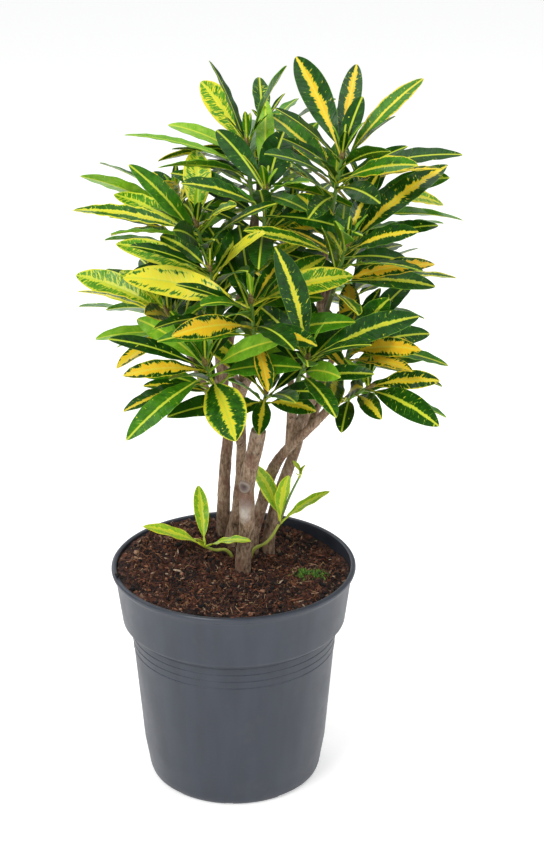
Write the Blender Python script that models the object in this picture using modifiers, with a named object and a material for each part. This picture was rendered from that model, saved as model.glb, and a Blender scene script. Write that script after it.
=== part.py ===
"""Potted croton: a branching shrub with narrow striped leaves, in a round plastic nursery pot.

Metres, +Z up.  The origin is the centre of the pot's underside, +X is the plant's right and
-Y its front.  The plant stands in soil in the pot.  The tables of woody limbs and leafy
shoots are in millimetres and degrees, from the pot's axis, and mm() turns them to metres.
"""

from collections import namedtuple
from math import atan2, cos, exp, hypot, pi, radians, sin

import bmesh
import bpy
from mathutils import Vector
from mathutils.bvhtree import BVHTree

# Driving dimensions
GAP = 0.0003                # clearance between pieces that touch
TURN_STEPS = 32             # facets round the pot and the soil
POT_HEIGHT = 0.197
RIM_RADIUS = 0.105
COLLAR_FOOT = (0.0964, 0.147)   # radius and height where the collar ends
BODY_TOP_RADIUS = 0.0893
BODY_LOW = (0.0800, 0.032)      # radius and height where the body's taper steepens
BASE_RADIUS = 0.0765
WALL = 0.0018
PAD_RADIUS = 0.026          # flat middle of the underside
FOOT_HEIGHT = 0.0026        # depth of the recess between the pad and the foot ring
DRAIN_COUNT = 8
DRAIN_RING = 0.048
DRAIN_RADIUS = 0.0045
NOTCHES = ((0.028, 0.0048, 42), (0.007, 0.0034, -3))    # width, cut depth, first turn (degrees)
NOTCH_LENGTH = 0.030        # along the pot's radius
NOTCH_STEP = 90             # degrees from one notch to the next of its size
SOIL_LEVEL = 0.1935
SOIL_RINGS = (0.0, 0.020, 0.040, 0.060, 0.080, 0.092)
HEAP = (-0.045, 0.040, 0.042, 0.011)    # place, spread and height of the soil's heap
DIP = (0.062, 0.040, 0.034, 0.010)      # and of its hollow
LUMP = 0.0009
RIM_BAND = 0.014            # the soil levels out over this distance from the wall

# Leaves
ARCH = radians(26)          # how far a leaf bends down from petiole to tip
FOLD = 0.16                 # how much the two halves rise from the midrib
PETIOLE = 0.14              # bare share of a leaf's length
PETIOLE_HALF = 0.0012
BASE_TAPER = 0.85           # the outline's two exponents: lower is blunter
TIP_TAPER = 0.72
STATIONS = (0.0, 0.18, 0.42, 0.7, 1.0)
LEAF_THICKNESS = 0.0009
CLEARANCE = 0.0016          # half the thickness that a leaf asks for when it looks for room
GOLDEN_ANGLE = 137.5
SPIRAL_STEP = 0.075         # share of the stem from one leaf of a spiral to the next
LEAN = 38                   # most that a blade leans outwards, in degrees
LOWEST_FILL = 6             # least rise of a leaf in a spiral, in degrees
CROWN_CENTRE = (25, 5)      # axis of the crown (mm)
STEM_RADIUS = 0.0023
BUD = 0.006                 # how far a shoot's bud reaches past its last leaf
SPROUT_RADII = (0.0018, 0.0013)
TWIG_RADII = (0.0011, 0.0006)

Leaf = namedtuple("Leaf", "base bearing rise length width roll")

# Woody limbs: where each runs, its radius at both ends (mm) and the shoot it carries
TRUNKS = {
    "trunk_left": [
        ((-12, 52, 172), (-10, 49, 215), (-8, 45, 262), (-5, 40, 300), (-8, 33, 345),
         (-13, 18, 395), (-11, -5, 435), 6.4, 2.8, "shoot_high_left"),
        ((-8, 34, 340), (-22, 20, 368), (-33, 6, 389), 3.6, 2.6, "shoot_left"),
        ((-6, 40, 305), (-22, 48, 335), (-37, 57, 364), 3.6, 2.6, "shoot_back_left_low"),
        ((-12, 22, 385), (-22, 38, 412), (-36, 49, 440), 3.2, 2.6, "shoot_back_left"),
        ((-8, 33, 345), (0, 31, 400), (12, 28, 450), (19, 25, 485), 3.6, 2.6, "shoot_top_left"),
        ((9, 29, 438), (14, 42, 470), (20, 56, 499), 2.8, 2.5, "shoot_back_top"),
    ],
    "trunk_middle": [
        ((-4, 37, 172), (-4, 36, 197), (3, 30, 234), (7, 18, 293), (7, 6, 340),
         (13, 3, 400), (25, 1, 451), 6.0, 2.7, "shoot_high_middle"),
        ((7, 16, 298), (3, -6, 322), (-3, -29, 340), 3.8, 2.6, "shoot_front_low"),
        ((7, 5, 343), (1, -8, 374), (-5, -24, 404), 3.6, 2.6, "shoot_front_left"),
        ((8, 5, 350), (13, -16, 370), (22, -39, 388), 3.4, 2.6, "shoot_front_middle"),
    ],
    "trunk_front": [
        ((8, -8, 172), (8, -8, 197), (12, -12, 242), (12, -15, 277), (19, -21, 312),
         (22, -24, 330), 7.0, 6.4, "shoot_front_stump"),
    ],
    "trunk_right": [
        ((15, 35, 172), (15, 35, 197), (25, 25, 242), (35, 15, 280), (48, 5, 303),
         (62, -5, 321), (80, -14, 345), 6.6, 3.2, "shoot_right_low"),
        ((48, 5, 303), (49, 0, 332), (49, -22, 352), (49, -44, 368), 4.4, 2.6,
         "shoot_front_right"),
        ((50, 3, 306), (60, 6, 336), (71, 2, 374), (76, -9, 420), 4.4, 2.6, "shoot_high_right"),
        ((64, -6, 323), (72, 9, 339), (79, 4, 352), 3.4, 2.6, "shoot_right"),
    ],
    "trunk_back": [
        ((30, 41, 172), (30, 41, 197), (37, 42, 234), (47, 42, 266), (55, 42, 290),
         (64, 38, 330), (70, 28, 400), (75, 15, 445), (76, 6, 475), 6.0, 2.7,
         "shoot_top_right"),
        ((68, 32, 375), (78, 34, 420), (88, 35, 455), 3.2, 2.6, "shoot_right_back"),
        ((61, 39, 315), (80, 46, 355), (97, 54, 397), 3.6, 2.6, "shoot_back_right"),
        ((66, 36, 345), (62, 55, 385), (56, 74, 420), 3.4, 2.6, "shoot_back_middle"),
        ((52, 42, 282), (50, 65, 330), (45, 80, 364), 3.6, 2.6, "shoot_back_low"),
    ],
}

# Leafy shoots: tip of the green stem (mm), the leaves placed by hand, then how many more fill
# the stem in a spiral and the bearing of the first.  A leaf by hand is its place
# along the stem, bearing, rise, length, width and roll; bearing 0 is +X and 90 is +Y.
SHOOTS = {
    "shoot_front_low": ((-19, -70, 404), [
        (0.80, -75, -15, 85, 33, 20), (0.90, -35, 30, 85, 18, 60), (0.85, -130, -15, 100, 19, -25),
        (0.95, 130, 10, 95, 19, -45), (0.90, -145, 10, 80, 15, -45), (0.70, -135, 5, 85, 16, -20),
        ], 7, 60),
    "shoot_front_middle": ((17, -85, 461), [
        (0.92, 155, 5, 115, 25, -60), (0.97, 40, 5, 95, 21, 55), (0.65, -135, 10, 88, 18, -65),
        (0.55, -105, -20, 60, 16, -25), (0.60, -55, 5, 70, 16, 55),
        ], 9, 100),
    "shoot_front_right": ((60, -88, 416), [
        (0.95, 30, 10, 108, 22, 45), (0.90, 195, 68, 98, 22, -65), (1.00, 148, 58, 58, 19, -55),
        (0.65, -60, 15, 60, 16, 60),
        ], 9, -40),
    "shoot_front_stump": ((28, -55, 374), [
        (0.90, -35, 25, 78, 16, 50), (0.75, -55, 10, 60, 16, 60), (0.90, -95, -10, 55, 15, -10),
        (0.80, -115, 5, 50, 14, -40), (0.90, 90, 5, 50, 14, 0),
        ], 4, 150),
    "shoot_front_left": ((-15, -50, 475), [
        (0.90, 160, 10, 92, 19, -50), (1.00, 130, 5, 85, 18, -55), (0.60, -90, 0, 45, 15, 0),
        ], 10, -160),
    "shoot_top_right": ((88, 0, 552), [
        (1.00, 115, 38, 108, 24, -30), (0.95, 80, 35, 108, 18, 0), (0.90, 45, 30, 115, 17, 10),
        (0.80, 20, 5, 110, 18, 25), (0.75, -45, 20, 90, 17, 50), (0.75, 130, 25, 95, 22, -30),
        (0.95, 60, 45, 60, 15, 10), (0.70, -65, 5, 75, 18, 40), (0.60, -110, 0, 65, 16, -30),
        ], 6, 170),
    "shoot_top_left": ((13, 30, 554), [
        (0.95, 120, 28, 90, 22, -40), (0.85, 140, 10, 90, 16, -15), (0.75, 158, 12, 108, 16, 0),
        ], 10, 30),
    "shoot_high_middle": ((28, -10, 527), [
        (0.95, 70, 45, 62, 26, 20), (0.80, 145, 10, 97, 18, -45), (1.00, 125, 20, 80, 19, -45),
        (1.00, 65, 35, 108, 18, 5), (0.90, 90, 38, 105, 15, 0), (0.35, 60, 20, 52, 18, 40),
        ], 10, -60),
    "shoot_high_left": ((-26, -20, 502), [
        (1.00, 92, 42, 82, 23, 0), (0.90, 160, 5, 112, 18, -25), (0.80, 140, 5, 100, 18, -25),
        (0.70, -125, 20, 80, 18, -70), (1.00, 120, 0, 70, 16, -50), (0.90, 60, 15, 60, 16, 20),
        ], 9, -60),
    "shoot_high_right": ((91, -40, 492), [
        (0.95, 40, 30, 112, 22, 25), (0.90, 105, 35, 75, 22, -25), (0.95, 30, 5, 90, 16, 20),
        (0.90, -45, 25, 85, 16, 55), (0.85, 40, -15, 80, 15, 45), (0.50, -35, 25, 85, 15, 45),
        ], 9, -96),
    "shoot_right": ((98, -20, 399), [
        (0.90, 35, 0, 85, 18, 40), (0.90, -45, 25, 80, 16, 75), (1.00, 25, -15, 88, 15, 20),
        (1.00, 50, 25, 95, 17, 30), (0.95, 90, 30, 75, 18, 0), (0.75, -50, 10, 80, 15, 20),
        ], 8, 130),
    "shoot_right_low": ((109, -45, 375), [
        (0.95, -55, 0, 95, 21, 55), (0.70, -75, 5, 70, 16, 45), (0.40, -60, 30, 70, 15, 75),
        (1.00, -25, 15, 65, 16, 60), (0.57, -100, -5, 50, 15, 0),
        ], 4, 40),
    "shoot_right_back": ((111, 35, 512), [
        (1.00, 40, -15, 92, 18, 40), (0.90, 60, -15, 85, 16, 20), (0.95, -30, 20, 75, 18, 60),
        ], 8, 120),
    "shoot_left": ((-50, -10, 425), [
        (0.95, 155, 15, 92, 23, -40), (0.80, -135, 0, 70, 18, -50), (0.60, -125, -10, 65, 15, -20),
        (0.95, 135, 22, 80, 18, -20), (0.90, 110, 30, 75, 17, 0),
        ], 8, -60),
    "shoot_back_left_low": ((-50, 80, 405), [], 10, 200),
    "shoot_back_left": ((-48, 68, 498), [], 11, 160),
    "shoot_back_middle": ((50, 98, 478), [], 11, 90),
    "shoot_back_right": ((106, 72, 446), [], 11, 20),
    "shoot_back_top": ((26, 74, 556), [], 11, 120),
    "shoot_back_low": ((36, 108, 404), [], 10, 60),
}

# Green sprouts from the foot of the stems: the stem's run, its leaves, and a bare twig or None
SPROUTS = {
    "sprout_left": (((2, 15, 180), (-6, 10, 203), (-16, 5, 206), (-25, 0, 212)), [
        (0.85, -175, 22, 58, 12, -25), (0.97, 100, 50, 55, 13, 0), (0.92, -38, 22, 54, 10, 15),
        (0.98, -115, 40, 24, 7, 0),
        ], None),
    "sprout_right": (((12, 16, 180), (18, 9, 205), (28, 5, 213), (41, 0, 236)), [
        (0.95, 175, 66, 58, 14, -62), (0.90, -60, 75, 52, 14, 0), (0.85, 10, 32, 52, 10, 20),
        ], ((39, 0, 233), (48, 2, 258), (58, 2, 280))),
}


CARRIERS = {limb[-1]: limb for limbs in TRUNKS.values() for limb in limbs}


def mm(numbers):
    """The first three numbers, millimetres, as a point in metres."""
    return Vector(numbers[:3]) / 1000


def clear_scene():
    for item in list(bpy.data.objects):
        bpy.data.objects.remove(item, do_unlink=True)


def collection(name):
    group = bpy.data.collections.new(name)
    bpy.context.scene.collection.children.link(group)
    return group


def material(name, colour, roughness):
    """A plain Principled material."""
    finish = bpy.data.materials.new(name)
    finish.use_nodes = True
    shader = finish.node_tree.nodes["Principled BSDF"]
    shader.inputs["Base Color"].default_value = (*colour, 1.0)
    shader.inputs["Roughness"].default_value = roughness
    shader.inputs["Metallic"].default_value = 0.0
    return finish


def add_object(name, data, group):
    item = bpy.data.objects.new(name, data)
    group.objects.link(item)
    return item


def baked(item, name, group):
    """A plain mesh copy of an object with its modifiers applied; the object is removed."""
    graph = bpy.context.evaluated_depsgraph_get()
    mesh = bpy.data.meshes.new_from_object(item.evaluated_get(graph))
    place = item.matrix_world.copy()
    bpy.data.objects.remove(item, do_unlink=True)
    copy = add_object(name, mesh, group)
    copy.matrix_world = place
    return copy


def turned(name, profile, group):
    """A solid of revolution from (radius, height) points that run down its outer side."""
    mesh = bpy.data.meshes.new(name)
    points = [(radius, 0.0, height) for radius, height in profile]
    edges = [(i, i + 1) for i in range(len(points) - 1)]
    mesh.from_pydata(points, edges, [])
    item = add_object(name, mesh, group)
    screw = item.modifiers.new("Turn", "SCREW")
    screw.steps = TURN_STEPS
    screw.render_steps = TURN_STEPS
    screw.use_merge_vertices = True
    screw.merge_threshold = 0.00005
    return baked(item, name, group)


def tube(name, points, radii, group, sides=2):
    """A tapering round limb through the points, as a closed mesh."""
    curve = bpy.data.curves.new(name, "CURVE")
    curve.dimensions = "3D"
    curve.bevel_depth = 1.0
    curve.bevel_resolution = sides
    curve.resolution_u = 2
    curve.use_fill_caps = True
    spline = curve.splines.new("BEZIER")
    spline.bezier_points.add(len(points) - 1)
    for i, (knot, point) in enumerate(zip(spline.bezier_points, points)):
        share = i / (len(points) - 1)
        knot.co = point
        knot.handle_left_type = "AUTO"
        knot.handle_right_type = "AUTO"
        knot.radius = radii[0] + (radii[1] - radii[0]) * share
    limb = baked(add_object(name, curve, group), name, group)
    work = bmesh.new()
    work.from_mesh(limb.data)
    bmesh.ops.remove_doubles(work, verts=work.verts, dist=0.00005)
    bmesh.ops.recalc_face_normals(work, faces=work.faces)
    work.to_mesh(limb.data)
    work.free()
    return limb


def combine(body, tools, operation, group):
    """The body joined with, or cut by, each tool; the tools are used up."""
    name = body.name
    for tool in tools:
        tool.hide_render = True
        tool.display_type = "WIRE"
        change = body.modifiers.new(operation.title(), "BOOLEAN")
        change.operation = operation
        change.solver = "EXACT"
        change.object = tool
    body.name = name + "_rough"
    result = baked(body, name, group)
    for tool in tools:
        bpy.data.objects.remove(tool, do_unlink=True)
    return result


def finished(item, finish, angle=40):
    item.data.materials.clear()
    item.data.materials.append(finish)
    item.data.shade_smooth()
    item.data.set_sharp_from_angle(angle=radians(angle))
    return item


# Pot

def wall_profile():
    """The pot's outer side, from the lip to the foot."""
    collar_radius, collar_height = COLLAR_FOOT
    return [
        (RIM_RADIUS - 0.0010, POT_HEIGHT),
        (RIM_RADIUS, POT_HEIGHT - 0.0010),
        (RIM_RADIUS, POT_HEIGHT - 0.0040),
        (RIM_RADIUS - 0.0028, POT_HEIGHT - 0.0052),
        (collar_radius, collar_height + 0.0006),
        (collar_radius - 0.0006, collar_height),
        (BODY_TOP_RADIUS, collar_height - 0.0010),
        BODY_LOW,
        (BASE_RADIUS, 0.010),
        (BASE_RADIUS - 0.0018, 0.0025),
        (BASE_RADIUS - 0.0050, 0.0),
    ]


def inner_radius(height):
    """Radius of the pot's inner wall at a height."""
    side = wall_profile()[3:9]
    for (upper, top), (lower, bottom) in zip(side, side[1:]):
        if bottom <= height <= top:
            share = (height - bottom) / (top - bottom)
            return lower + (upper - lower) * share - WALL
    return side[0][0] - WALL


def build_pot(group):
    collar_radius, collar_height = COLLAR_FOOT
    floor = 2 * WALL + 0.0010
    inside = [
        (0.0, floor),
        (BASE_RADIUS - 0.0055, floor),
        (inner_radius(0.012), 0.012),
        (BODY_LOW[0] - WALL, BODY_LOW[1]),
        (BODY_TOP_RADIUS - WALL, collar_height),
        (collar_radius - WALL, collar_height + WALL),
        (RIM_RADIUS - 0.0028 - WALL, POT_HEIGHT - 0.0052),
        (RIM_RADIUS - 0.0028 - WALL, POT_HEIGHT - 0.0006),
        (RIM_RADIUS - 0.0040, POT_HEIGHT),
    ]
    underside = [
        (BASE_RADIUS - 0.0095, 0.0),
        (BASE_RADIUS - 0.0100, FOOT_HEIGHT),
        (PAD_RADIUS + 0.0005, FOOT_HEIGHT),
        (PAD_RADIUS, 0.0),
        (0.0, 0.0),
    ]
    pot = turned("pot", inside + wall_profile() + underside, group)
    cutters = []
    for i in range(DRAIN_COUNT):
        angle = 2 * pi * (i + 0.5) / DRAIN_COUNT
        outward = Vector((cos(angle), sin(angle), 0.0))
        bpy.ops.mesh.primitive_cylinder_add(vertices=10, radius=DRAIN_RADIUS, depth=0.02,
                                            location=outward * DRAIN_RING)
        cutters.append(bpy.context.object)
    for width, depth, first in NOTCHES:
        for turn in range(first, first + 360, NOTCH_STEP):
            outward = Vector((sin(radians(turn)), -cos(radians(turn)), 0.0))
            bpy.ops.mesh.primitive_cube_add(
                size=1.0, location=outward * BASE_RADIUS,
                rotation=(0.0, 0.0, radians(turn - 90)), scale=(NOTCH_LENGTH, width, depth))
            cutters.append(bpy.context.object)
    return combine(pot, cutters, "DIFFERENCE", group)


# Soil

def soil_height(x, y):
    """Height of the soil's surface: heaped at the back left, low at the back right."""
    heap, dip = (height * exp(-((x - at_x) ** 2 + (y - at_y) ** 2) / (2 * spread ** 2))
                 for at_x, at_y, spread, height in (HEAP, DIP))
    lumps = LUMP * (sin(131 * x + 40 * y) + sin(167 * y - 60 * x + 1.0))
    edge = min(1.0, (inner_radius(SOIL_LEVEL) - hypot(x, y)) / RIM_BAND)
    return SOIL_LEVEL + edge * (heap + lumps) - dip


def build_soil(pockets, group):
    collar_radius, collar_height = COLLAR_FOOT
    floor = 2 * WALL + 0.0010 + GAP
    top = [(radius, SOIL_LEVEL) for radius in SOIL_RINGS]
    ledge = collar_height + WALL + 3 * GAP
    side = [(inner_radius(z) - GAP, z) for z in (SOIL_LEVEL, ledge)]
    lower = [
        (BODY_TOP_RADIUS - WALL - GAP, ledge - WALL),
        (BODY_LOW[0] - WALL - GAP, BODY_LOW[1]),
        (inner_radius(0.012) - 2 * GAP, 0.012),
        (BASE_RADIUS - 0.0060, floor),
        (0.0, floor),
    ]
    soil = turned("soil", top + side + lower, group)
    for corner in soil.data.vertices:
        if corner.co.z > SOIL_LEVEL - 0.001:
            corner.co.z = soil_height(corner.co.x, corner.co.y)
            inward = (inner_radius(corner.co.z) - 2 * GAP) / max(corner.co.xy.length, GAP)
            corner.co.xy *= min(1.0, inward)
    return combine(soil, pockets, "DIFFERENCE", group)


# Woody stems

def limb_points(limb):
    return [mm(point) for point in limb[:-3]]


def limb_radii(limb):
    return limb[-3] / 1000, limb[-2] / 1000


def build_trunk(name, limbs, group):
    first, *branches = limbs
    body = tube(name, limb_points(first), limb_radii(first), group)
    arms = []
    for i, limb in enumerate(branches):
        arms.append(tube(f"{name}_arm_{i}", limb_points(limb), limb_radii(limb), group, sides=1))
    return combine(body, arms, "UNION", group) if arms else body


def pocket(name, points, radii, group):
    """A cutter that leaves a stem's clearance in the soil."""
    down = (points[0] - points[1]).normalized() * 2 * GAP
    spaced = [points[0] + down] + points[1:]
    return tube(name, spaced, [radius + 2 * GAP for radius in radii], group)


# Leaves

def half_width(u):
    """Half the leaf's width at u along it, as a share of the full width: an oblong lance."""
    if not PETIOLE < u < 1.0:
        return 0.0
    t = (u - PETIOLE) / (1 - PETIOLE)
    widest = BASE_TAPER / (BASE_TAPER + TIP_TAPER)
    top = widest ** BASE_TAPER * (1 - widest) ** TIP_TAPER
    return 0.5 * t ** BASE_TAPER * (1 - t) ** TIP_TAPER / top


def leaf_point(leaf, u, v, lift=0.0, spread=0.0):
    """A point at u along the leaf's arch and v across it, raised from its surface by lift.
    Spread is added to its half width."""
    start = leaf.rise + ARCH / 2
    angle = start - ARCH * u
    forward = Vector((cos(leaf.bearing), sin(leaf.bearing), 0.0))
    upward = Vector((0.0, 0.0, 1.0))
    run = (sin(start) - sin(angle)) / ARCH
    climb = (cos(angle) - cos(start)) / ARCH
    spine = leaf.base + (forward * run + upward * climb) * leaf.length
    normal = upward * cos(angle) - forward * sin(angle)
    side = upward.cross(forward)
    roll = leaf.roll * min(1.0, u / 0.4)
    across = side * cos(roll) + normal * sin(roll)
    normal = normal * cos(roll) - side * sin(roll)
    half = max(half_width(u) * leaf.width, PETIOLE_HALF * (1 - 0.5 * u)) + spread
    return spine + across * v * half + normal * (abs(v) * half * FOLD + lift)


def leaf_shell(leaf, first=0):
    """A closed, slightly thick copy of a leaf, to test it against what already grows there."""
    points = []
    stations = STATIONS[first:-1] + (1.0 + CLEARANCE / leaf.length,)
    for lift in (CLEARANCE, -CLEARANCE):
        for u in stations:
            points += [leaf_point(leaf, u, v, lift, 0.6 * CLEARANCE) for v in (-1, 0, 1)]
    rows = len(stations)
    under = 3 * rows
    faces = []
    for i in range(rows - 1):
        for j in range(2):
            a = 3 * i + j
            faces.append((a, a + 1, a + 4, a + 3))
            faces.append((under + a, under + a + 3, under + a + 4, under + a + 1))
        for a in (3 * i, 3 * i + 2):
            faces.append((a, a + 3, under + a + 3, under + a))
    for a in (0, 1, 3 * rows - 3, 3 * rows - 2):
        faces.append((a, a + 1, under + a + 1, under + a))
    return BVHTree.FromPolygons(points, faces)


def stem_shell(points, radius):
    """A square tube round a stem, for the same test."""
    corners = []
    for i, point in enumerate(points):
        ahead = (points[min(i + 1, len(points) - 1)] - points[max(i - 1, 0)]).normalized()
        side = ahead.cross(Vector((0.3, 1.0, 0.2))).normalized() * radius
        other = ahead.cross(side)
        corners += [point + side, point + other, point - side, point - other]
    faces = []
    for i in range(len(points) - 1):
        for j in range(4):
            a = 4 * i + j
            b = 4 * i + (j + 1) % 4
            faces.append((a, b, b + 4, a + 4))
    return BVHTree.FromPolygons(corners, faces)


def stem_ends(name):
    """Foot and tip of a shoot's green stem; the foot is where its limb ends."""
    return limb_points(CARRIERS[name])[-1], mm(SHOOTS[name][0])


def stem_points(name):
    """A shoot's green stem: it leaves in line with its limb, then bends to its own bud."""
    before, foot = limb_points(CARRIERS[name])[-2:]
    tip = stem_ends(name)[1]
    onward = (foot - before).normalized()
    ahead = (tip - foot).normalized()
    return [foot + onward * GAP, foot + onward * BUD, foot.lerp(tip, 0.5), tip + ahead * BUD]


def leaf_at(foot, tip, entry):
    place, bearing, rise, length, width, roll = entry
    base = foot.lerp(tip, place)
    return Leaf(base, radians(bearing), radians(rise), length / 1000, width / 1000,
                radians(roll))


def spiral(tip, count, first):
    """Leaves up a stem by the golden angle.  High ones stand up and low ones spread, those that
    point out of the crown hang lower, and all lean their upper faces outwards."""
    outward = atan2(tip[1] - CROWN_CENTRE[1], tip[0] - CROWN_CENTRE[0])
    entries = []
    for i in range(count):
        bearing = first + GOLDEN_ANGLE * i
        aside = radians(bearing) - outward
        rise = max(38 - 4 * i - 16 * max(0.0, cos(aside)), LOWEST_FILL)
        length = 74 + 6 * min(i, 3) - 5 * max(i - 4, 0) + 6 * sin(2.1 * first + 1.7 * i)
        width = 18 + 3 * sin(1.3 * first + 2.3 * i)
        entries.append((0.97 - SPIRAL_STEP * i, bearing, rise, length, width, LEAN * sin(aside)))
    return entries


def turns():
    """Small turns of bearing and rise that a crowded leaf tries, the least first."""
    steps = [(9 * i, 8 * j) for i in range(-5, 6) for j in range(-4, 5)]
    return sorted(steps, key=lambda step: (hypot(step[0], 1.3 * step[1]), step))


def grow_leaves():
    """Settles every leaf: each one turns aside until it touches none that grew before it."""
    stems = []
    for name, limbs in TRUNKS.items():
        stems += [(name, stem_shell(limb_points(limb), limb_radii(limb)[0])) for limb in limbs]
    for name in SHOOTS:
        stems.append((name, stem_shell(stem_points(name), STEM_RADIUS + 0.0006)))
    wanted = [(name, entry) for name, shoot in SHOOTS.items() for entry in shoot[1]]
    for name, (tip, _, count, first) in SHOOTS.items():
        wanted += [(name, entry) for entry in spiral(tip, count, first)]
    grown = {name: [] for name in SHOOTS}
    settled = []
    for name, entry in wanted:
        first = leaf_at(*stem_ends(name), entry)
        for bearing, rise in turns():
            leaf = first._replace(bearing=first.bearing + radians(bearing),
                                  rise=first.rise + radians(rise))
            if has_room(name, leaf, settled, stems):
                grown[name].append(leaf)
                settled.append((name, leaf, leaf_shell(leaf), leaf_shell(leaf, 1)))
                break
    return grown


def has_room(name, leaf, settled, stems):
    whole = leaf_shell(leaf)
    blade = leaf_shell(leaf, 1)
    for other, shell in stems:
        if (blade if other == name else whole).overlap(shell):
            return False
    for other, rival, shell, rival_blade in settled:
        reach = leaf.length + rival.length
        if (leaf.base - rival.base).length > reach:
            continue
        if other == name and blade.overlap(rival_blade):
            return False
        if other != name and whole.overlap(shell):
            return False
    return True


def build_leaf(name, leaf, group):
    """One blade with its petiole: a strip laid along the arch, half way up the blade's shallow
    fold, then given its thickness."""
    work = bmesh.new()
    bmesh.ops.create_grid(work, x_segments=len(STATIONS) - 1, y_segments=1, size=0.5)
    for corner in work.verts:
        station = STATIONS[round((corner.co.x + 0.5) * (len(STATIONS) - 1))]
        level = -0.5 * FOLD * half_width(station) * leaf.width
        corner.co = leaf_point(leaf, station, 2 * corner.co.y, level)
    mesh = bpy.data.meshes.new(name)
    work.to_mesh(mesh)
    work.free()
    item = add_object(name, mesh, group)
    thick = item.modifiers.new("Thickness", "SOLIDIFY")
    thick.thickness = LEAF_THICKNESS
    thick.offset = 0.0
    return item


def build_shoot(name, leaves, group, tools):
    stem = tube(name, stem_points(name), (STEM_RADIUS + 0.0004, 0.0012), group, sides=1)
    blades = [build_leaf(f"{name}_leaf_{i}", leaf, tools) for i, leaf in enumerate(leaves)]
    return combine(stem, blades, "UNION", group)


def build_sprout(name, group, tools):
    run, entries, twig = SPROUTS[name]
    points = [mm(point) for point in run]
    stem = tube(name, points, SPROUT_RADII, group, sides=1)
    parts = []
    for i, entry in enumerate(entries):
        leaf = leaf_at(points[-2], points[-1], entry)
        parts.append(build_leaf(f"{name}_leaf_{i}", leaf, tools))
    if twig:
        parts.append(tube(f"{name}_twig", [mm(point) for point in twig], TWIG_RADII, tools,
                          sides=1))
    return combine(stem, parts, "UNION", group)


def main():
    clear_scene()
    parts = collection("potted_croton")
    tools = collection("cutters")
    plastic = material("pot_plastic", (0.075, 0.085, 0.105), 0.45)
    compost = material("compost", (0.055, 0.022, 0.012), 0.95)
    bark = material("bark", (0.20, 0.145, 0.105), 0.85)
    foliage = material("foliage", (0.045, 0.15, 0.02), 0.35)
    young = material("young_foliage", (0.30, 0.45, 0.06), 0.4)

    finished(build_pot(parts), plastic)
    pockets = []
    for name, limbs in TRUNKS.items():
        finished(build_trunk(name, limbs, parts), bark)
        pockets.append(pocket(f"{name}_pocket", limb_points(limbs[0]), limb_radii(limbs[0]),
                              tools))
    for name, (run, _, _) in SPROUTS.items():
        finished(build_sprout(name, parts, tools), young)
        points = [mm(point) for point in run]
        pockets.append(pocket(f"{name}_pocket", points, SPROUT_RADII, tools))
    finished(build_soil(pockets, parts), compost)
    for name, leaves in grow_leaves().items():
        finished(build_shoot(name, leaves, parts, tools), foliage)


main()
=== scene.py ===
import random
from collections import namedtuple
from math import atan2, cos, exp, hypot, pi, radians, sin, sqrt

import bmesh
import bpy
from mathutils import Matrix, Vector, noise
from mathutils.bvhtree import BVHTree


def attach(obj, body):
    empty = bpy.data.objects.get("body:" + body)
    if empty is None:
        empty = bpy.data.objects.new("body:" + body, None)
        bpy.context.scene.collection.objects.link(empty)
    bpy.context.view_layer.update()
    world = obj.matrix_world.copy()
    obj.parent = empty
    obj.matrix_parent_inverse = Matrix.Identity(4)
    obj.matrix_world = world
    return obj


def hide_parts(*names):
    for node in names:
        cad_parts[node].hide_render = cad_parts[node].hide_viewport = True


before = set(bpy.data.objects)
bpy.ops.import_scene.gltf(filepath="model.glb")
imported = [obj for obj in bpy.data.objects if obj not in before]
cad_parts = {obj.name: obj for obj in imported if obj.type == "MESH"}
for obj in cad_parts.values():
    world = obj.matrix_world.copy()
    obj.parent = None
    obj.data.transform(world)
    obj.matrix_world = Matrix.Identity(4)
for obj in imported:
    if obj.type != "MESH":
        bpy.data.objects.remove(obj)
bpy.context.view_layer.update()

bpy.ops.object.select_all(action="DESELECT")


# Studio: a pale seamless paper floor, large soft boxes above and to both sides, and a camera
# a little above the crown, tilted down on the plant.
PAPER = "#f6f6f4"
CAMERA_PLACE = (0.033, -1.55, 0.9665)
CAMERA_TILT = radians(22.5)
CAMERA_LENS = 85.0
SOFT_BOXES = {
    # name: (place, aimed at, side length, watts)
    "key_light": ((-1.0, -1.4, 2.0), (0.0, 0.0, 0.35), 1.0, 26),
    "fill_light": ((1.7, -1.2, 1.1), (0.0, 0.0, 0.3), 1.3, 7),
    "top_light": ((0.2, 0.4, 2.3), (0.0, 0.0, 0.3), 1.4, 12),
    "back_light": ((-0.9, 1.7, 1.3), (0.0, 0.0, 0.4), 1.2, 6),
}


def linear(hex_colour):
    """An sRGB hex colour as linear RGBA."""
    shares = [int(hex_colour[i:i + 2], 16) / 255 for i in (1, 3, 5)]
    return (*[c / 12.92 if c <= 0.04045 else ((c + 0.055) / 1.055) ** 2.4 for c in shares], 1.0)


def node(tree, kind, links=None, steps=(), **settings):
    """Adds a shader node with its settings.  Links gives its inputs values, other nodes or their
    sockets; a node stands for its first output.  Steps are a ramp's positions and colours."""
    made = tree.nodes.new("ShaderNode" + kind)
    for name, value in settings.items():
        setattr(made, name, value)
    for key, value in (links or {}).items():
        if isinstance(value, bpy.types.Node):
            value = value.outputs[0]
        if isinstance(value, bpy.types.NodeSocket):
            tree.links.new(value, made.inputs[key])
        else:
            made.inputs[key].default_value = value
    if steps:
        ramp = made.color_ramp.elements
        for end in (0, -1):
            ramp[end].position, ramp[end].color = steps[end][0], linear(steps[end][1])
        for position, colour in steps[1:-1]:
            ramp.new(position).color = linear(colour)
    return made


def new_material(name):
    """A node material, its node tree and its Principled shader."""
    made = bpy.data.materials.new(name)
    made.use_nodes = True
    return made, made.node_tree, made.node_tree.nodes["Principled BSDF"]


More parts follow.
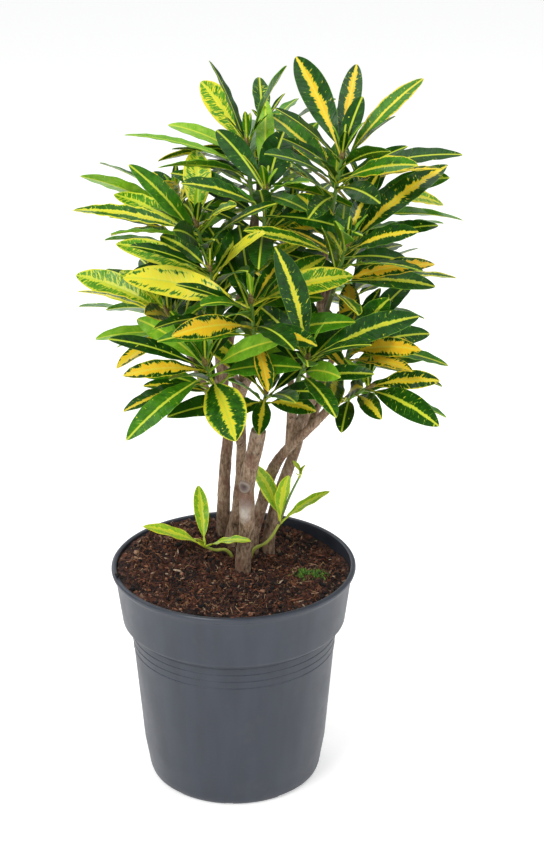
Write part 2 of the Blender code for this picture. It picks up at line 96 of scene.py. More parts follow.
bpy.ops.mesh.primitive_plane_add(size=60, location=(0, 0, -0.0002))
paper_floor = bpy.context.object
paper_floor.name = "paper_floor"
paper, tree, shader = new_material("matt_paper")
shader.inputs["Base Color"].default_value = linear(PAPER)
shader.inputs["Roughness"].default_value = 0.9
shader.inputs["Emission Color"].default_value = linear(PAPER)
shader.inputs["Emission Strength"].default_value = 0.46     # lit through from below
paper_floor.data.materials.append(paper)

for name, (place, aim, size, watts) in SOFT_BOXES.items():
    bpy.ops.object.light_add(type="AREA", location=place)
    lamp = bpy.context.object
    lamp.name = name
    lamp.data.size = size
    lamp.data.energy = watts
    lamp.rotation_euler = (Vector(aim) - Vector(place)).to_track_quat("-Z", "Y").to_euler()

studio_air = bpy.data.worlds.new("studio_air")
studio_air.use_nodes = True
studio_air.node_tree.nodes["Background"].inputs["Color"].default_value = linear("#fafbff")
studio_air.node_tree.nodes["Background"].inputs["Strength"].default_value = 0.56
bpy.context.scene.world = studio_air
bpy.context.scene.view_settings.view_transform = "Standard"

bpy.ops.object.camera_add(location=CAMERA_PLACE, rotation=(pi / 2 - CAMERA_TILT, 0.0, 0.0))
camera = bpy.context.object
camera.data.lens = CAMERA_LENS
bpy.context.scene.camera = camera


# Pot: a round nursery pot, injection moulded in one piece of grey polypropylene, with a rounded
# lip, a wide collar over a step, a tapering body, a notched foot ring and drain holes.
RING_STEPS = 144
FLOOR = 4.6                 # all the pot's sizes are in mm
POT_SIDE = [                # radius and height, from the middle of the underside to the lip
    (26.0, 0.0), (26.3, 0.2), (26.5, 2.4), (27.0, 2.6), (66.0, 2.6), (66.5, 2.3), (67.0, 0.3),
    (67.4, 0.0), (71.2, 0.0), (73.2, 0.7), (74.6, 2.4), (75.6, 5.4), (76.4, 9.6), (76.8, 13.0),
    (78.2, 21.0), (80.0, 32.0), (83.3, 72.0), (86.7, 113.0), (87.4, 121.6),
    (87.8, 122.0), (87.5, 122.5), (87.9, 128.2), (88.3, 128.6), (88.0, 129.1), (88.4, 134.8),
    (88.8, 135.2), (88.5, 135.7), (88.9, 141.0), (89.3, 141.4), (89.1, 141.9), (89.4, 144.6),
    (90.4, 146.0), (92.4, 146.8), (94.6, 147.0), (95.7, 147.3), (96.4, 148.2), (96.7, 150.0),
    (99.2, 169.5), (101.6, 188.6), (102.3, 190.6), (103.6, 192.2), (104.6, 193.2),
    (105.0, 194.4), (104.9, 195.7), (104.2, 196.6), (103.0, 197.0), (101.8, 196.9),
    (100.9, 196.4), (100.5, 195.4),
]
POT_INSIDE = [              # down the inner wall to the floor
    (100.4, 191.6), (94.9, 149.6), (94.2, 148.8), (88.0, 147.8), (87.5, 147.0), (78.2, 32.0),
    (75.1, 12.0), (73.6, 7.6), (71.4, 5.0), (69.0, FLOOR),
]
DRAIN_COUNT = 8
DRAIN_RING = 48.0
DRAIN_RADIUS = 4.5
NOTCHES = ((28.0, 4.8, 42), (7.0, 3.4, -3))     # width, cut depth, first turn (degrees)


def edit_all():
    """Edit mode with everything selected."""
    bpy.ops.object.mode_set(mode="EDIT")
    bpy.ops.mesh.select_all(action="SELECT")


def settle():
    """Object mode, with the object's place moved into its mesh."""
    bpy.ops.object.mode_set(mode="OBJECT")
    bpy.ops.object.transform_apply(location=True, rotation=True, scale=True)


def apply_modifier(item, kind, **settings):
    """Adds a modifier to the active object and applies it."""
    change = item.modifiers.new(kind.title(), kind)
    for name, value in settings.items():
        setattr(change, name, value)
    bpy.ops.object.modifier_apply(modifier=change.name)


def activate(item, *others):
    """Selects the item and the others, with the item active."""
    bpy.ops.object.select_all(action="DESELECT")
    for each in (item, *others):
        each.select_set(True)
    bpy.context.view_layer.objects.active = item


def hand_in(piece, finish, stands_for):
    """Gives the piece its finish, hangs it on the body "root" and hides the part that it replaces.
    """
    piece.data.materials.append(finish)
    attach(piece, "root")
    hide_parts(stands_for)


bpy.ops.mesh.primitive_circle_add(vertices=RING_STEPS, radius=POT_SIDE[0][0] / 1000,
                                  fill_type="NGON", location=(0, 0, 0))
pot = bpy.context.object
pot.name = "pot_shell"
edit_all()
bpy.ops.mesh.flip_normals()
bpy.ops.mesh.select_mode(type="EDGE")
rings = POT_SIDE + POT_INSIDE
for (before, low), (radius, high) in zip(rings, rings[1:]):
    bpy.ops.mesh.extrude_edges_move(
        TRANSFORM_OT_translate={"value": (0, 0, (high - low) / 1000)})
    growth = radius / before
    bpy.ops.transform.resize(value=(growth, growth, 1.0))
bpy.ops.mesh.edge_face_add()
bpy.ops.mesh.select_all(action="SELECT")
bpy.ops.mesh.normals_make_consistent(inside=False)
settle()

cutters = []
for i in range(DRAIN_COUNT):
    angle = 2 * pi * (i + 0.5) / DRAIN_COUNT
    outward = Vector((cos(angle), sin(angle), 0.0))
    bpy.ops.mesh.primitive_cylinder_add(vertices=24, radius=DRAIN_RADIUS / 1000, depth=0.02,
                                        location=outward * DRAIN_RING / 1000)
    cutters.append(bpy.context.object)
for width, depth, first in NOTCHES:
    for turn in range(first, first + 360, 90):
        outward = Vector((sin(radians(turn)), -cos(radians(turn)), 0.0))
        bpy.ops.mesh.primitive_cube_add(
            size=1.0, location=outward * 0.0765, rotation=(0, 0, radians(turn - 90)),
            scale=(0.030, width / 1000, depth / 1000))
        bpy.ops.object.transform_apply(location=False, rotation=True, scale=True)
        apply_modifier(bpy.context.object, "BEVEL", width=0.0012, segments=3)
        cutters.append(bpy.context.object)
activate(*cutters)
bpy.ops.object.join()
drains = bpy.context.object
activate(pot)
apply_modifier(pot, "BOOLEAN", operation="DIFFERENCE", solver="EXACT", object=drains)
bpy.data.objects.remove(drains, do_unlink=True)
bpy.ops.object.shade_smooth_by_angle(angle=radians(32))

# Polypropylene, moulded: satin, with the fine orange-peel of the mould, faint flow marks down
# the wall, and a little dried compost dust under the lip and round the foot.
polypropylene, tree, shader = new_material("moulded_polypropylene")
place = node(tree, "TexCoord").outputs["Object"]
flow = node(tree, "Mapping", {"Vector": place, "Scale": (60, 60, 9)})
streaks = node(tree, "TexNoise", {"Vector": flow, "Scale": 1.0, "Detail": 4})
peel = node(tree, "TexNoise", {"Vector": place, "Scale": 900.0, "Detail": 2})
dust = node(tree, "TexNoise", {"Vector": place, "Scale": 38.0, "Detail": 7, "Roughness": 0.65})
shade = node(tree, "ValToRGB", {0: streaks}, steps=((0.3, "#2e333e"), (0.75, "#383e4a")))
dusty = node(tree, "MapRange", {"Value": dust.outputs["Fac"], "From Min": 0.56, "From Max": 0.78,
                                "To Max": 0.28})
skin = node(tree, "Mix", {0: dusty, 6: shade, 7: linear("#555554")}, data_type="RGBA")
gloss = node(tree, "MapRange", {"Value": dust.outputs["Fac"], "From Min": 0.3, "From Max": 0.8,
                                "To Min": 0.36, "To Max": 0.52})
relief = node(tree, "Bump", {"Height": peel.outputs["Fac"], "Strength": 0.12, "Distance": 0.0002})
tree.links.new(skin.outputs[2], shader.inputs["Base Color"])
tree.links.new(gloss.outputs[0], shader.inputs["Roughness"])
tree.links.new(relief.outputs[0], shader.inputs["Normal"])
shader.inputs["IOR"].default_value = 1.49
hand_in(pot, polypropylene, "pot")


# Compost: a peat and coir mix that fills the pot, heaped at the back left and sunken at the
# back right, crumbly on top, with a socket round each stem's foot.
SOIL_LEVEL = 193.5
SOIL_GRID = 210             # cells across the surface
SOIL_SIDE = [(93.2, 149.2), (87.0, 148.0), (77.6, 32.0), (74.2, 12.0), (70.0, FLOOR + 0.3)]
GAP = 0.0003                # room between pieces that touch
STEM_FEET = {               # where a stem passes the surface, and its radius there (mm)
    "left": (-11.3, 50.7, 6.4), "middle": (-4, 36, 6.0), "front": (8, -8, 7.0),
    "right": (15, 35, 6.6), "back": (30, 41, 6.0),
}


def wall_radius(height):
    """Radius of the pot's inner wall, in mm, at a height above the collar's foot."""
    (upper, top), (lower, bottom) = POT_INSIDE[:2]
    return min(lower + (upper - lower) * (height - bottom) / (top - bottom), upper)


def soil_height(x, y):
    """Height of the compost's surface, in mm, over a place in mm."""
    heap = 11.0 * exp(-((x + 45) ** 2 + (y - 40) ** 2) / (2 * 42 ** 2))
    dip = 10.0 * exp(-((x - 62) ** 2 + (y - 40) ** 2) / (2 * 34 ** 2))
    lumps = 0.9 * sin(0.131 * x + 0.040 * y) + 0.9 * sin(0.167 * y - 0.060 * x + 1.0)
    edge = min(1.0, (wall_radius(SOIL_LEVEL) - hypot(x, y)) / 14)
    return SOIL_LEVEL + edge * (heap + lumps) - dip


def crumbs(x, y):
    """Height of the crumbs and pits in the surface, in mm."""
    clod = noise.noise(Vector((x * 0.11, y * 0.11, 3.0)))
    lump = noise.noise(Vector((x * 0.33, y * 0.33, 7.0)))
    grain = noise.noise(Vector((x * 0.9, y * 0.9, 11.0)))
    near = noise.voronoi(Vector((x * 0.19, y * 0.19, 5.0)))[0]
    pile = 0.5 - min(near[0], 0.5)
    rim = min(1.0, (101 - hypot(x, y)) / 9)
    return rim * (3.2 * clod + 3.2 * lump + 1.4 * grain + 5.0 * pile - 1.6)


bpy.ops.mesh.primitive_grid_add(x_subdivisions=SOIL_GRID, y_subdivisions=SOIL_GRID, size=0.2)
soil = bpy.context.object
soil.name = "compost_bed"
work = bmesh.new()
work.from_mesh(soil.data)
limit = wall_radius(SOIL_LEVEL) / 1000 - 0.0012
bmesh.ops.delete(work, geom=[v for v in work.verts if v.co.xy.length > limit], context="VERTS")
for corner in work.verts:
    x, y = corner.co.x * 1000, corner.co.y * 1000
    corner.co.z = (soil_height(x, y) + crumbs(x, y)) / 1000
for corner in work.verts:
    if corner.is_boundary:
        corner.co.xy *= (wall_radius(corner.co.z * 1000) / 1000 - 2 * GAP) / corner.co.xy.length
work.to_mesh(soil.data)
work.free()
bpy.ops.object.mode_set(mode="EDIT")
bpy.ops.mesh.select_mode(type="EDGE")
bpy.ops.mesh.select_all(action="DESELECT")
bpy.ops.mesh.select_non_manifold()
for radius, height in SOIL_SIDE:
    bpy.ops.mesh.extrude_edges_move()
    bpy.ops.object.mode_set(mode="OBJECT")
    for corner in soil.data.vertices:
        if corner.select:
            corner.co.z = height / 1000
            corner.co.xy *= radius / 1000 / corner.co.xy.length
    bpy.ops.object.mode_set(mode="EDIT")
bpy.ops.mesh.edge_face_add()
bpy.ops.mesh.select_all(action="SELECT")
bpy.ops.mesh.normals_make_consistent(inside=False)
settle()
sockets = []
for x, y, radius in STEM_FEET.values():
    bpy.ops.mesh.primitive_cone_add(vertices=28, radius1=radius / 1000, depth=0.05,
                                    radius2=(radius + 1.4) / 1000,
                                    location=(x / 1000, y / 1000, 0.197))
    sockets.append(bpy.context.object)
activate(*sockets)
bpy.ops.object.join()
holes = bpy.context.object
activate(soil)
apply_modifier(soil, "BOOLEAN", operation="DIFFERENCE", solver="EXACT", object=holes)
bpy.data.objects.remove(holes, do_unlink=True)
bpy.ops.object.shade_smooth_by_angle(angle=radians(60))

# Peat and coir, milled: matt, dark when damp, in crumbs of 1 to 6 mm from near black to red
# brown, with pale flecks of wood and perlite.
compost, tree, shader = new_material("milled_peat_compost")
place = node(tree, "TexCoord").outputs["Object"]
wide = node(tree, "TexNoise", {"Vector": place, "Scale": 55.0, "Detail": 6, "Roughness": 0.6})
fine = node(tree, "TexNoise", {"Vector": place, "Scale": 420.0, "Detail": 5, "Roughness": 0.7})
grains = node(tree, "TexVoronoi", {"Vector": place, "Scale": 330.0})
mixed = node(tree, "Math", {0: wide.outputs["Fac"], 1: 0.45, 2: 0.0}, operation="MULTIPLY")
mixed = node(tree, "Math", {0: fine.outputs["Fac"], 1: 0.55, 2: mixed}, operation="MULTIPLY_ADD")
earth = node(tree, "ValToRGB", {0: mixed}, steps=((0.42, "#0a0605"), (0.5, "#2a1712"),
                                                  (0.62, "#744531")))
rare = node(tree, "SeparateColor", {0: grains.outputs["Color"]})
pale = node(tree, "MapRange", {"Value": rare, "From Min": 0.93, "From Max": 0.96, "To Max": 0.55})
flecked = node(tree, "Mix", {0: pale, 6: earth, 7: linear("#a58468")}, data_type="RGBA")
relief = node(tree, "Bump", {"Height": fine.outputs["Fac"], "Strength": 0.8, "Distance": 0.0012})
tree.links.new(flecked.outputs[2], shader.inputs["Base Color"])
tree.links.new(relief.outputs[0], shader.inputs["Normal"])
shader.inputs["Roughness"].default_value = 0.88
hand_in(soil, compost, "soil")


# Loose top of the compost: crumbs of peat, slivers of bark and wood, strands of coir and a
# small patch of moss, all lying on the bed or half sunk in it.
CRUMB_COUNT = 2600
SLIVER_COUNT = 560
STRAND_COUNT = 1500
MOSS_COUNT = 520
MOSS_PATCH = (66.0, -12.0, 6.5)         # middle and spread (mm)
dice = random.Random(11)


def bed_spot(margin=4.0):
    """A random place on the bed, in mm, clear of the wall and of the stems' feet."""
    while True:
        reach = (wall_radius(SOIL_LEVEL) - margin) * sqrt(dice.random())
        turn = dice.uniform(0, 2 * pi)
        x, y = reach * cos(turn), reach * sin(turn)
        if all(hypot(x - fx, y - fy) > r + 1.5 for fx, fy, r in STEM_FEET.values()):
            return x, y


def bed_level(x, y):
    """Height of the compost with its crumbs, in mm."""
    return soil_height(x, y) + crumbs(x, y)


def strew(name, shape, lays):
    """One mesh of many copies of a shape.  Each lay is a matrix and a shade from 0 to 1, which
    goes into the attribute "shade"."""
    corners, faces, shades = [], [], []
    for lay, tint in lays:
        start = len(corners)
        corners += [lay @ corner.co for corner in shape.data.vertices]
        faces += [[start + i for i in face.vertices] for face in shape.data.polygons]
        shades += [tint] * len(shape.data.vertices)
    mesh = bpy.data.meshes.new(name)
    mesh.from_pydata(corners, [], faces)
    mesh.attributes.new("shade", "FLOAT", "POINT").data.foreach_set("value", shades)
    mesh.shade_smooth()
    bpy.data.objects.remove(shape, do_unlink=True)
    made = bpy.data.objects.new(name, mesh)
    bpy.context.scene.collection.objects.link(made)
    return made


def random_lay(x, y, z, sizes, tilt):
    """A matrix for a thing of the given half sizes at a place, all in mm."""
    turn = Matrix.Rotation(dice.uniform(0, 2 * pi), 4, "Z")
    lean = Matrix.Rotation(dice.uniform(-tilt, tilt), 4, "X")
    pitch = Matrix.Rotation(dice.uniform(-tilt, tilt), 4, "Y")
    grown = Matrix.Diagonal((*[size / 1000 for size in sizes], 1.0))
    return Matrix.Translation(Vector((x, y, z)) / 1000) @ turn @ lean @ pitch @ grown


def shade_material(name, ramp, roughness, grain, depth):
    """A matt natural finish whose colour follows the attribute "shade" along a ramp of
    (position, hex colour), broken up by grain of that scale per metre."""
    made, tree, shader = new_material(name)
    place = node(tree, "TexCoord").outputs["Object"]
    tint = node(tree, "Attribute", attribute_name="shade")
    speck = node(tree, "TexNoise", {"Vector": place, "Scale": grain, "Detail": 4})
    spread = node(tree, "Math", {0: speck.outputs["Fac"], 1: 0.4, 2: -0.2},
                  operation="MULTIPLY_ADD")
    total = node(tree, "Math", {0: tint.outputs["Fac"], 1: spread}, operation="ADD")
    colours = node(tree, "ValToRGB", {0: total}, steps=ramp)
    relief = node(tree, "Bump", {"Height": speck.outputs["Fac"], "Strength": 0.6,
                                 "Distance": depth})
    tree.links.new(colours.outputs[0], shader.inputs["Base Color"])
    tree.links.new(relief.outputs[0], shader.inputs["Normal"])
    shader.inputs["Roughness"].default_value = roughness
    return made


bpy.ops.mesh.primitive_ico_sphere_add(subdivisions=1, radius=1.0)
crumb = bpy.context.object
for corner in crumb.data.vertices:
    corner.co *= 1.0 + 0.35 * noise.noise(corner.co * 1.7)
lays = []
for _ in range(CRUMB_COUNT):
    x, y = bed_spot()
    size = dice.uniform(0.4, 1.0) + 1.8 * dice.random() ** 6
    sizes = (size * dice.uniform(0.8, 1.5), size, size * dice.uniform(0.6, 0.9))
    lays.append((random_lay(x, y, bed_level(x, y) + 0.2 * size, sizes, 0.6), dice.random()))
for x, y, size, tint in ((-97.6, -28.0, 2.1, 0.25), (-99.0, -26.2, 1.3, 0.2)):
    lays.append((random_lay(x, y, 197.0 + 0.8 * size, (1.3 * size, size, size), 0.3), tint))
crumb_layer = strew("peat_crumbs", crumb, lays)
hand_in(crumb_layer, shade_material("crumbled_peat", [
    (0.15, "#0c0706"), (0.45, "#1e100c"), (0.7, "#48271b"), (0.9, "#764630"),
    (1.1, "#ad866b")], 0.9, 600.0, 0.0006), "soil")

bpy.ops.mesh.primitive_cube_add(size=2.0)
sliver = bpy.context.object
edit_all()
bpy.ops.mesh.subdivide(number_cuts=1)
settle()
for corner in sliver.data.vertices:
    end = abs(corner.co.x)
    corner.co.y *= 1.0 - 0.55 * end
    corner.co.z += 0.5 * corner.co.x ** 2
    corner.co += 0.25 * noise.noise_vector(corner.co * 1.3)
lays = []
for _ in range(SLIVER_COUNT):
    x, y = bed_spot(8.0)
    length = dice.uniform(1.4, 3.4) + 2.6 * dice.random() ** 3
    sizes = (length, dice.uniform(0.45, 1.1), dice.uniform(0.2, 0.45))
    lays.append((random_lay(x, y, bed_level(x, y) + 0.5, sizes, 0.35), dice.random() ** 1.3))
sliver_layer = strew("bark_slivers", sliver, lays)
hand_in(sliver_layer, shade_material("shredded_bark", [
    (0.0, "#24130d"), (0.45, "#5a3020"), (0.8, "#8f583c"), (1.0, "#b8937a"),
    (1.12, "#d8c4ab")], 0.85, 500.0, 0.0003), "soil")

bpy.ops.mesh.primitive_grid_add(x_subdivisions=6, y_subdivisions=3, size=2)
strand = bpy.context.object
for corner in strand.data.vertices:         # the grid is rolled up into a tube
    turn = -pi * corner.co.y
    corner.co.yz = cos(turn), sin(turn)
edit_all()
bpy.ops.mesh.remove_doubles(threshold=0.01)
settle()
corners, faces, shades = [], [], []
for _ in range(STRAND_COUNT):
    x, y = bed_spot(12.0)
    half, thick = 2.0 + 8.0 * dice.random() ** 2, dice.uniform(0.1, 0.24)
    turn, bend, sway = dice.uniform(0, 2 * pi), dice.uniform(-0.5, 0.5), dice.uniform(0, 6)
    start = len(corners)
    for corner in strand.data.vertices:
        run = corner.co.x
        aside = half * (bend * run * run + 0.12 * sin(3 * run + sway)) + corner.co.y * thick
        px = x + run * half * cos(turn) - aside * sin(turn)
        py = y + run * half * sin(turn) + aside * cos(turn)
        over = 1.0 + 0.7 * cos(1.7 * run + sway)
        corners.append(Vector((px, py, bed_level(px, py) + over + corner.co.z * thick)) / 1000)
    faces += [[start + i for i in face.vertices] for face in strand.data.polygons]
    shades += [dice.random()] * len(strand.data.vertices)
bpy.data.objects.remove(strand, do_unlink=True)
mesh = bpy.data.meshes.new("coir_strands")
mesh.from_pydata(corners, [], faces)
mesh.attributes.new("shade", "FLOAT", "POINT").data.foreach_set("value", shades)
strand_layer = bpy.data.objects.new("coir_strands", mesh)
bpy.context.scene.collection.objects.link(strand_layer)
hand_in(strand_layer, shade_material("coir_fibre", [
    (0.0, "#2c140d"), (0.5, "#673722"), (0.85, "#95603f"), (1.1, "#cda77c")],
    0.75, 300.0, 0.0001), "soil")

bpy.ops.mesh.primitive_cone_add(vertices=5, radius1=1.0, radius2=0.0, depth=2.0,
                                end_fill_type="NOTHING")
tuft = bpy.context.object
edit_all()
bpy.ops.mesh.subdivide(number_cuts=1)
settle()
lays = []
for _ in range(MOSS_COUNT):
    x = dice.gauss(MOSS_PATCH[0], MOSS_PATCH[2])
    y = dice.gauss(MOSS_PATCH[1], 0.6 * MOSS_PATCH[2])
    if hypot(x, y) > 88:
        continue
    size = dice.uniform(0.7, 1.5)
    lays.append((random_lay(x, y, bed_level(x, y) + size, (0.45 * size, 0.45 * size,
                                                            1.5 * size), 0.9), dice.random()))
moss_layer = strew("moss_tufts", tuft, lays)
hand_in(moss_layer, shade_material("cushion_moss", [
    (0.0, "#2a4a1c"), (0.5, "#4c7f28"), (1.0, "#84b03f")], 0.8, 700.0, 0.0002), "soil")


# Woody stems: five, forking into thinner limbs that each carry a leafy shoot; grey-brown bark
# with lens-shaped pores, crinkled rings of old leaf scars, and a pruned branch on the front one.
# A limb is its points, its radius at both ends (mm) and the shoot it carries.
TRUNKS = {
    "trunk_left": [
        ((-12, 52, 172), (-10, 49, 215), (-8, 45, 262), (-5, 40, 300), (-8, 33, 345),
         (-13, 18, 395), (-11, -5, 435), 6.4, 2.8, "shoot_high_left"),
        ((-8, 34, 340), (-22, 20, 368), (-33, 6, 389), 3.6, 2.6, "shoot_left"),
        ((-6, 40, 305), (-22, 48, 335), (-37, 57, 364), 3.6, 2.6, "shoot_back_left_low"),
        ((-12, 22, 385), (-22, 38, 412), (-36, 49, 440), 3.2, 2.6, "shoot_back_left"),
        ((-8, 33, 345), (0, 31, 400), (12, 28, 450), (19, 25, 485), 3.6, 2.6, "shoot_top_left"),
        ((9, 29, 438), (14, 42, 470), (20, 56, 499), 2.8, 2.5, "shoot_back_top"),
    ],
    "trunk_middle": [
        ((-4, 37, 172), (-4, 36, 197), (3, 30, 234), (7, 18, 293), (7, 6, 340),
         (13, 3, 400), (25, 1, 451), 6.0, 2.7, "shoot_high_middle"),
        ((7, 16, 298), (3, -6, 322), (-3, -29, 340), 3.8, 2.6, "shoot_front_low"),
        ((7, 5, 343), (1, -8, 374), (-5, -24, 404), 3.6, 2.6, "shoot_front_left"),
        ((8, 5, 350), (13, -16, 370), (22, -39, 388), 3.4, 2.6, "shoot_front_middle"),
    ],
    "trunk_front": [
        ((8, -8, 172), (8, -8, 197), (12, -12, 242), (12, -15, 277), (19, -21, 312),
         (22, -24, 330), 7.0, 6.4, "shoot_front_stump"),
    ],
    "trunk_right": [
        ((15, 35, 172), (15, 35, 197), (25, 25, 242), (35, 15, 280), (48, 5, 303),
         (62, -5, 321), (80, -14, 345), 6.6, 3.2, "shoot_right_low"),
        ((48, 5, 303), (49, 0, 332), (49, -22, 352), (49, -44, 368), 4.4, 2.6,
         "shoot_front_right"),
        ((50, 3, 306), (60, 6, 336), (71, 2, 374), (76, -9, 420), 4.4, 2.6, "shoot_high_right"),
        ((64, -6, 323), (72, 9, 339), (79, 4, 352), 3.4, 2.6, "shoot_right"),
    ],
    "trunk_back": [
        ((30, 41, 172), (30, 41, 197), (37, 42, 234), (47, 42, 266), (55, 42, 290),
         (64, 38, 330), (70, 28, 400), (75, 15, 445), (76, 6, 475), 6.0, 2.7,
         "shoot_top_right"),
        ((68, 32, 375), (78, 34, 420), (88, 35, 455), 3.2, 2.6, "shoot_right_back"),
        ((61, 39, 315), (80, 46, 355), (97, 54, 397), 3.6, 2.6, "shoot_back_right"),
        ((66, 36, 345), (62, 55, 385), (56, 74, 420), 3.4, 2.6, "shoot_back_middle"),
        ((52, 42, 282), (50, 65, 330), (45, 80, 364), 3.6, 2.6, "shoot_back_low"),
    ],
}
BARK_VOXEL = 0.0009
KNOT = (Vector((9.5, -21.0, 277.0)), 4.2)       # middle and radius (mm)
RUBBED_SPOT = (0.0095, -0.020, 0.2655)          # below the knot (m)
SCAR_SPACING = 11.0


def mm(numbers):
    """The first three numbers, millimetres, as a point in metres."""
    return Vector(numbers[:3]) / 1000


def limb(points, radii, around=10, along=6):
    """A tapering round limb along a smooth line through the points, as a mesh."""
    bpy.ops.curve.primitive_bezier_curve_add(location=(0, 0, 0))
    line = bpy.context.object.data
    line.dimensions = "3D"
    line.bevel_depth = 1.0
    line.bevel_resolution = around
    line.resolution_u = along
    line.use_fill_caps = True
    knots = line.splines[0].bezier_points
    knots.add(len(points) - 2)
    for i, (knot, point) in enumerate(zip(knots, points)):
        knot.co = point
        knot.handle_left_type = "AUTO"
        knot.handle_right_type = "AUTO"
        knot.radius = radii[0] + (radii[1] - radii[0]) * i / (len(points) - 1)
    bpy.ops.object.convert(target="MESH")
    edit_all()
    bpy.ops.mesh.remove_doubles(threshold=0.00002)
    bpy.ops.mesh.normals_make_consistent(inside=False)
    settle()
    return bpy.context.object


def bark_relief(spot, seed):
    """How far the bark stands out, in mm, at a spot in mm."""
    x, y, z = spot
    swell = noise.noise(Vector((x * 0.05, y * 0.05, z * 0.06 + seed)))
    fissure = noise.noise(Vector((x * 0.55, y * 0.55, z * 0.14 + seed)))
    crumble = noise.noise(Vector((x * 0.9, y * 0.9, z * 0.8 + seed)))
    wander = 2.2 * noise.noise(Vector((x * 0.12, y * 0.12, z * 0.1 + seed)))
    scar = max(0.0, cos(2 * pi * (z / SCAR_SPACING + wander))) ** 10
    broken = max(0.0, 0.5 + 1.6 * noise.noise(Vector((x * 0.2, y * 0.2, z * 0.05 - seed))))
    return 0.5 * swell + 0.28 * fissure + 0.16 * crumble + 0.26 * scar * min(broken, 1.0)


def knot_relief(spot):
    """The healed ring and sunken middle of the front stem's pruned branch, in mm."""
    away = (spot - KNOT[0]).length / KNOT[1]
    return 1.1 * exp(-((away - 0.85) / 0.28) ** 2) - 0.5 * exp(-(away / 0.5) ** 2)


trunks = {}
for seed, (name, limbs) in enumerate(TRUNKS.items()):
    arms = [limb([mm(p) for p in each[:-3]], (each[-3] / 1000, each[-2] / 1000))
            for each in limbs]
    activate(*arms)
    if len(arms) > 1:
        bpy.ops.object.join()
    trunk = bpy.context.object
    trunk.name = name.replace("trunk", "woody_stem")
    trunk.data.remesh_voxel_size = BARK_VOXEL
    bpy.ops.object.voxel_remesh()
    apply_modifier(trunk, "SMOOTH", factor=0.5, iterations=4)
    outward = [corner.normal.copy() for corner in trunk.data.vertices]
    for corner, away in zip(trunk.data.vertices, outward):
        spot = corner.co * 1000
        out = bark_relief(spot, 3.7 * seed)
        if name == "trunk_front":
            out += knot_relief(spot)
        corner.co += away * out / 1000
    bpy.ops.object.shade_smooth_by_angle(angle=radians(80))
    trunks[name] = trunk

# Young bark: corky and dry, grey-brown with darker cracks and pores, paler where the skin has
# weathered to a thin grey film, and reddish brown where it has rubbed.
bark, tree, shader = new_material("corky_young_bark")
place = node(tree, "TexCoord").outputs["Object"]
upright = node(tree, "Mapping", {"Vector": place, "Scale": (520, 520, 190)})
cracks = node(tree, "TexNoise", {"Vector": upright, "Scale": 1.0, "Detail": 6, "Roughness": 0.62})
cells = node(tree, "TexVoronoi", {"Vector": upright, "Scale": 0.9})
broad = node(tree, "TexNoise", {"Vector": place, "Scale": 48.0, "Detail": 4})
film = node(tree, "TexNoise", {"Vector": place, "Scale": 85.0, "Detail": 6, "Roughness": 0.7})
tone = node(tree, "Math", {0: cracks.outputs["Fac"], 1: 0.7}, operation="MULTIPLY")
tone = node(tree, "Math", {0: broad.outputs["Fac"], 1: 0.3, 2: tone}, operation="MULTIPLY_ADD")
base = node(tree, "ValToRGB", {0: tone}, steps=((0.36, "#403024"), (0.44, "#776049"),
                                                (0.54, "#9a8069"), (0.65, "#b89e86")))
pores = node(tree, "MapRange", {"Value": cells.outputs["Distance"], "From Min": 0.08,
                                "From Max": 0.2, "To Min": 0.7, "To Max": 0.0})
pored = node(tree, "Mix", {0: pores, 6: base, 7: linear("#6a5343")}, data_type="RGBA")
weathered = node(tree, "MapRange", {"Value": film.outputs["Fac"], "From Min": 0.56,
                                    "From Max": 0.68, "To Max": 0.6})
skin = node(tree, "Mix", {0: weathered, 6: pored.outputs[2], 7: linear("#b3a999")},
            data_type="RGBA")
rubbed = node(tree, "TexNoise", {"Vector": place, "Scale": 62.0, "Detail": 5, "Roughness": 0.6,
                                 "Distortion": 0.4})
rubbed = node(tree, "MapRange", {"Value": rubbed.outputs["Fac"], "From Min": 0.52,
                                 "From Max": 0.62, "To Max": 0.6})
skin = node(tree, "Mix", {0: rubbed, 6: skin.outputs[2], 7: linear("#6f4838")}, data_type="RGBA")
patch = node(tree, "Mapping", {"Vector": place, "Scale": (95, 95, 62),
                               "Location": (-0.9, 1.9, -15.7)})
patch_away = node(tree, "VectorMath", {0: patch}, operation="LENGTH")
ragged = node(tree, "Math", {0: film.outputs["Fac"], 1: 1.6, 2: patch_away.outputs["Value"]},
              operation="MULTIPLY_ADD")
lichen = node(tree, "MapRange", {"Value": ragged, "From Min": 1.6, "From Max": 1.1,
                                 "To Max": 0.62})
skin = node(tree, "Mix", {0: lichen, 6: skin.outputs[2], 7: linear("#d2cbc2")}, data_type="RGBA")
# the knot: a pale healed ring round a dark heart, with the skin rubbed red brown below it
scuff = node(tree, "VectorMath", {0: place, 1: RUBBED_SPOT}, operation="SUBTRACT")
scuff = node(tree, "VectorMath", {0: scuff}, operation="LENGTH")
scuff = node(tree, "Math", {0: film.outputs["Fac"], 1: 0.02, 2: scuff.outputs["Value"]},
             operation="MULTIPLY_ADD")
scuff = node(tree, "MapRange", {"Value": scuff, "From Min": 0.0235, "From Max": 0.0155,
                                "To Max": 0.55})
skin = node(tree, "Mix", {0: scuff, 6: skin.outputs[2], 7: linear("#694336")}, data_type="RGBA")
heart = node(tree, "VectorMath", {0: place, 1: KNOT[0] / 1000}, operation="SUBTRACT")
heart = node(tree, "VectorMath", {0: heart}, operation="LENGTH")
ring = node(tree, "Math", {0: heart.outputs["Value"], 1: 130.0}, operation="MULTIPLY")
ring = node(tree, "ValToRGB", {0: ring}, steps=((0.1, "#54443f"), (0.38, "#75665f"),
                                                (0.6, "#988a7e"), (0.86, "#5b463a")))
near_knot = node(tree, "MapRange", {"Value": heart.outputs["Value"], "From Min": 0.0068,
                                    "From Max": 0.0056})
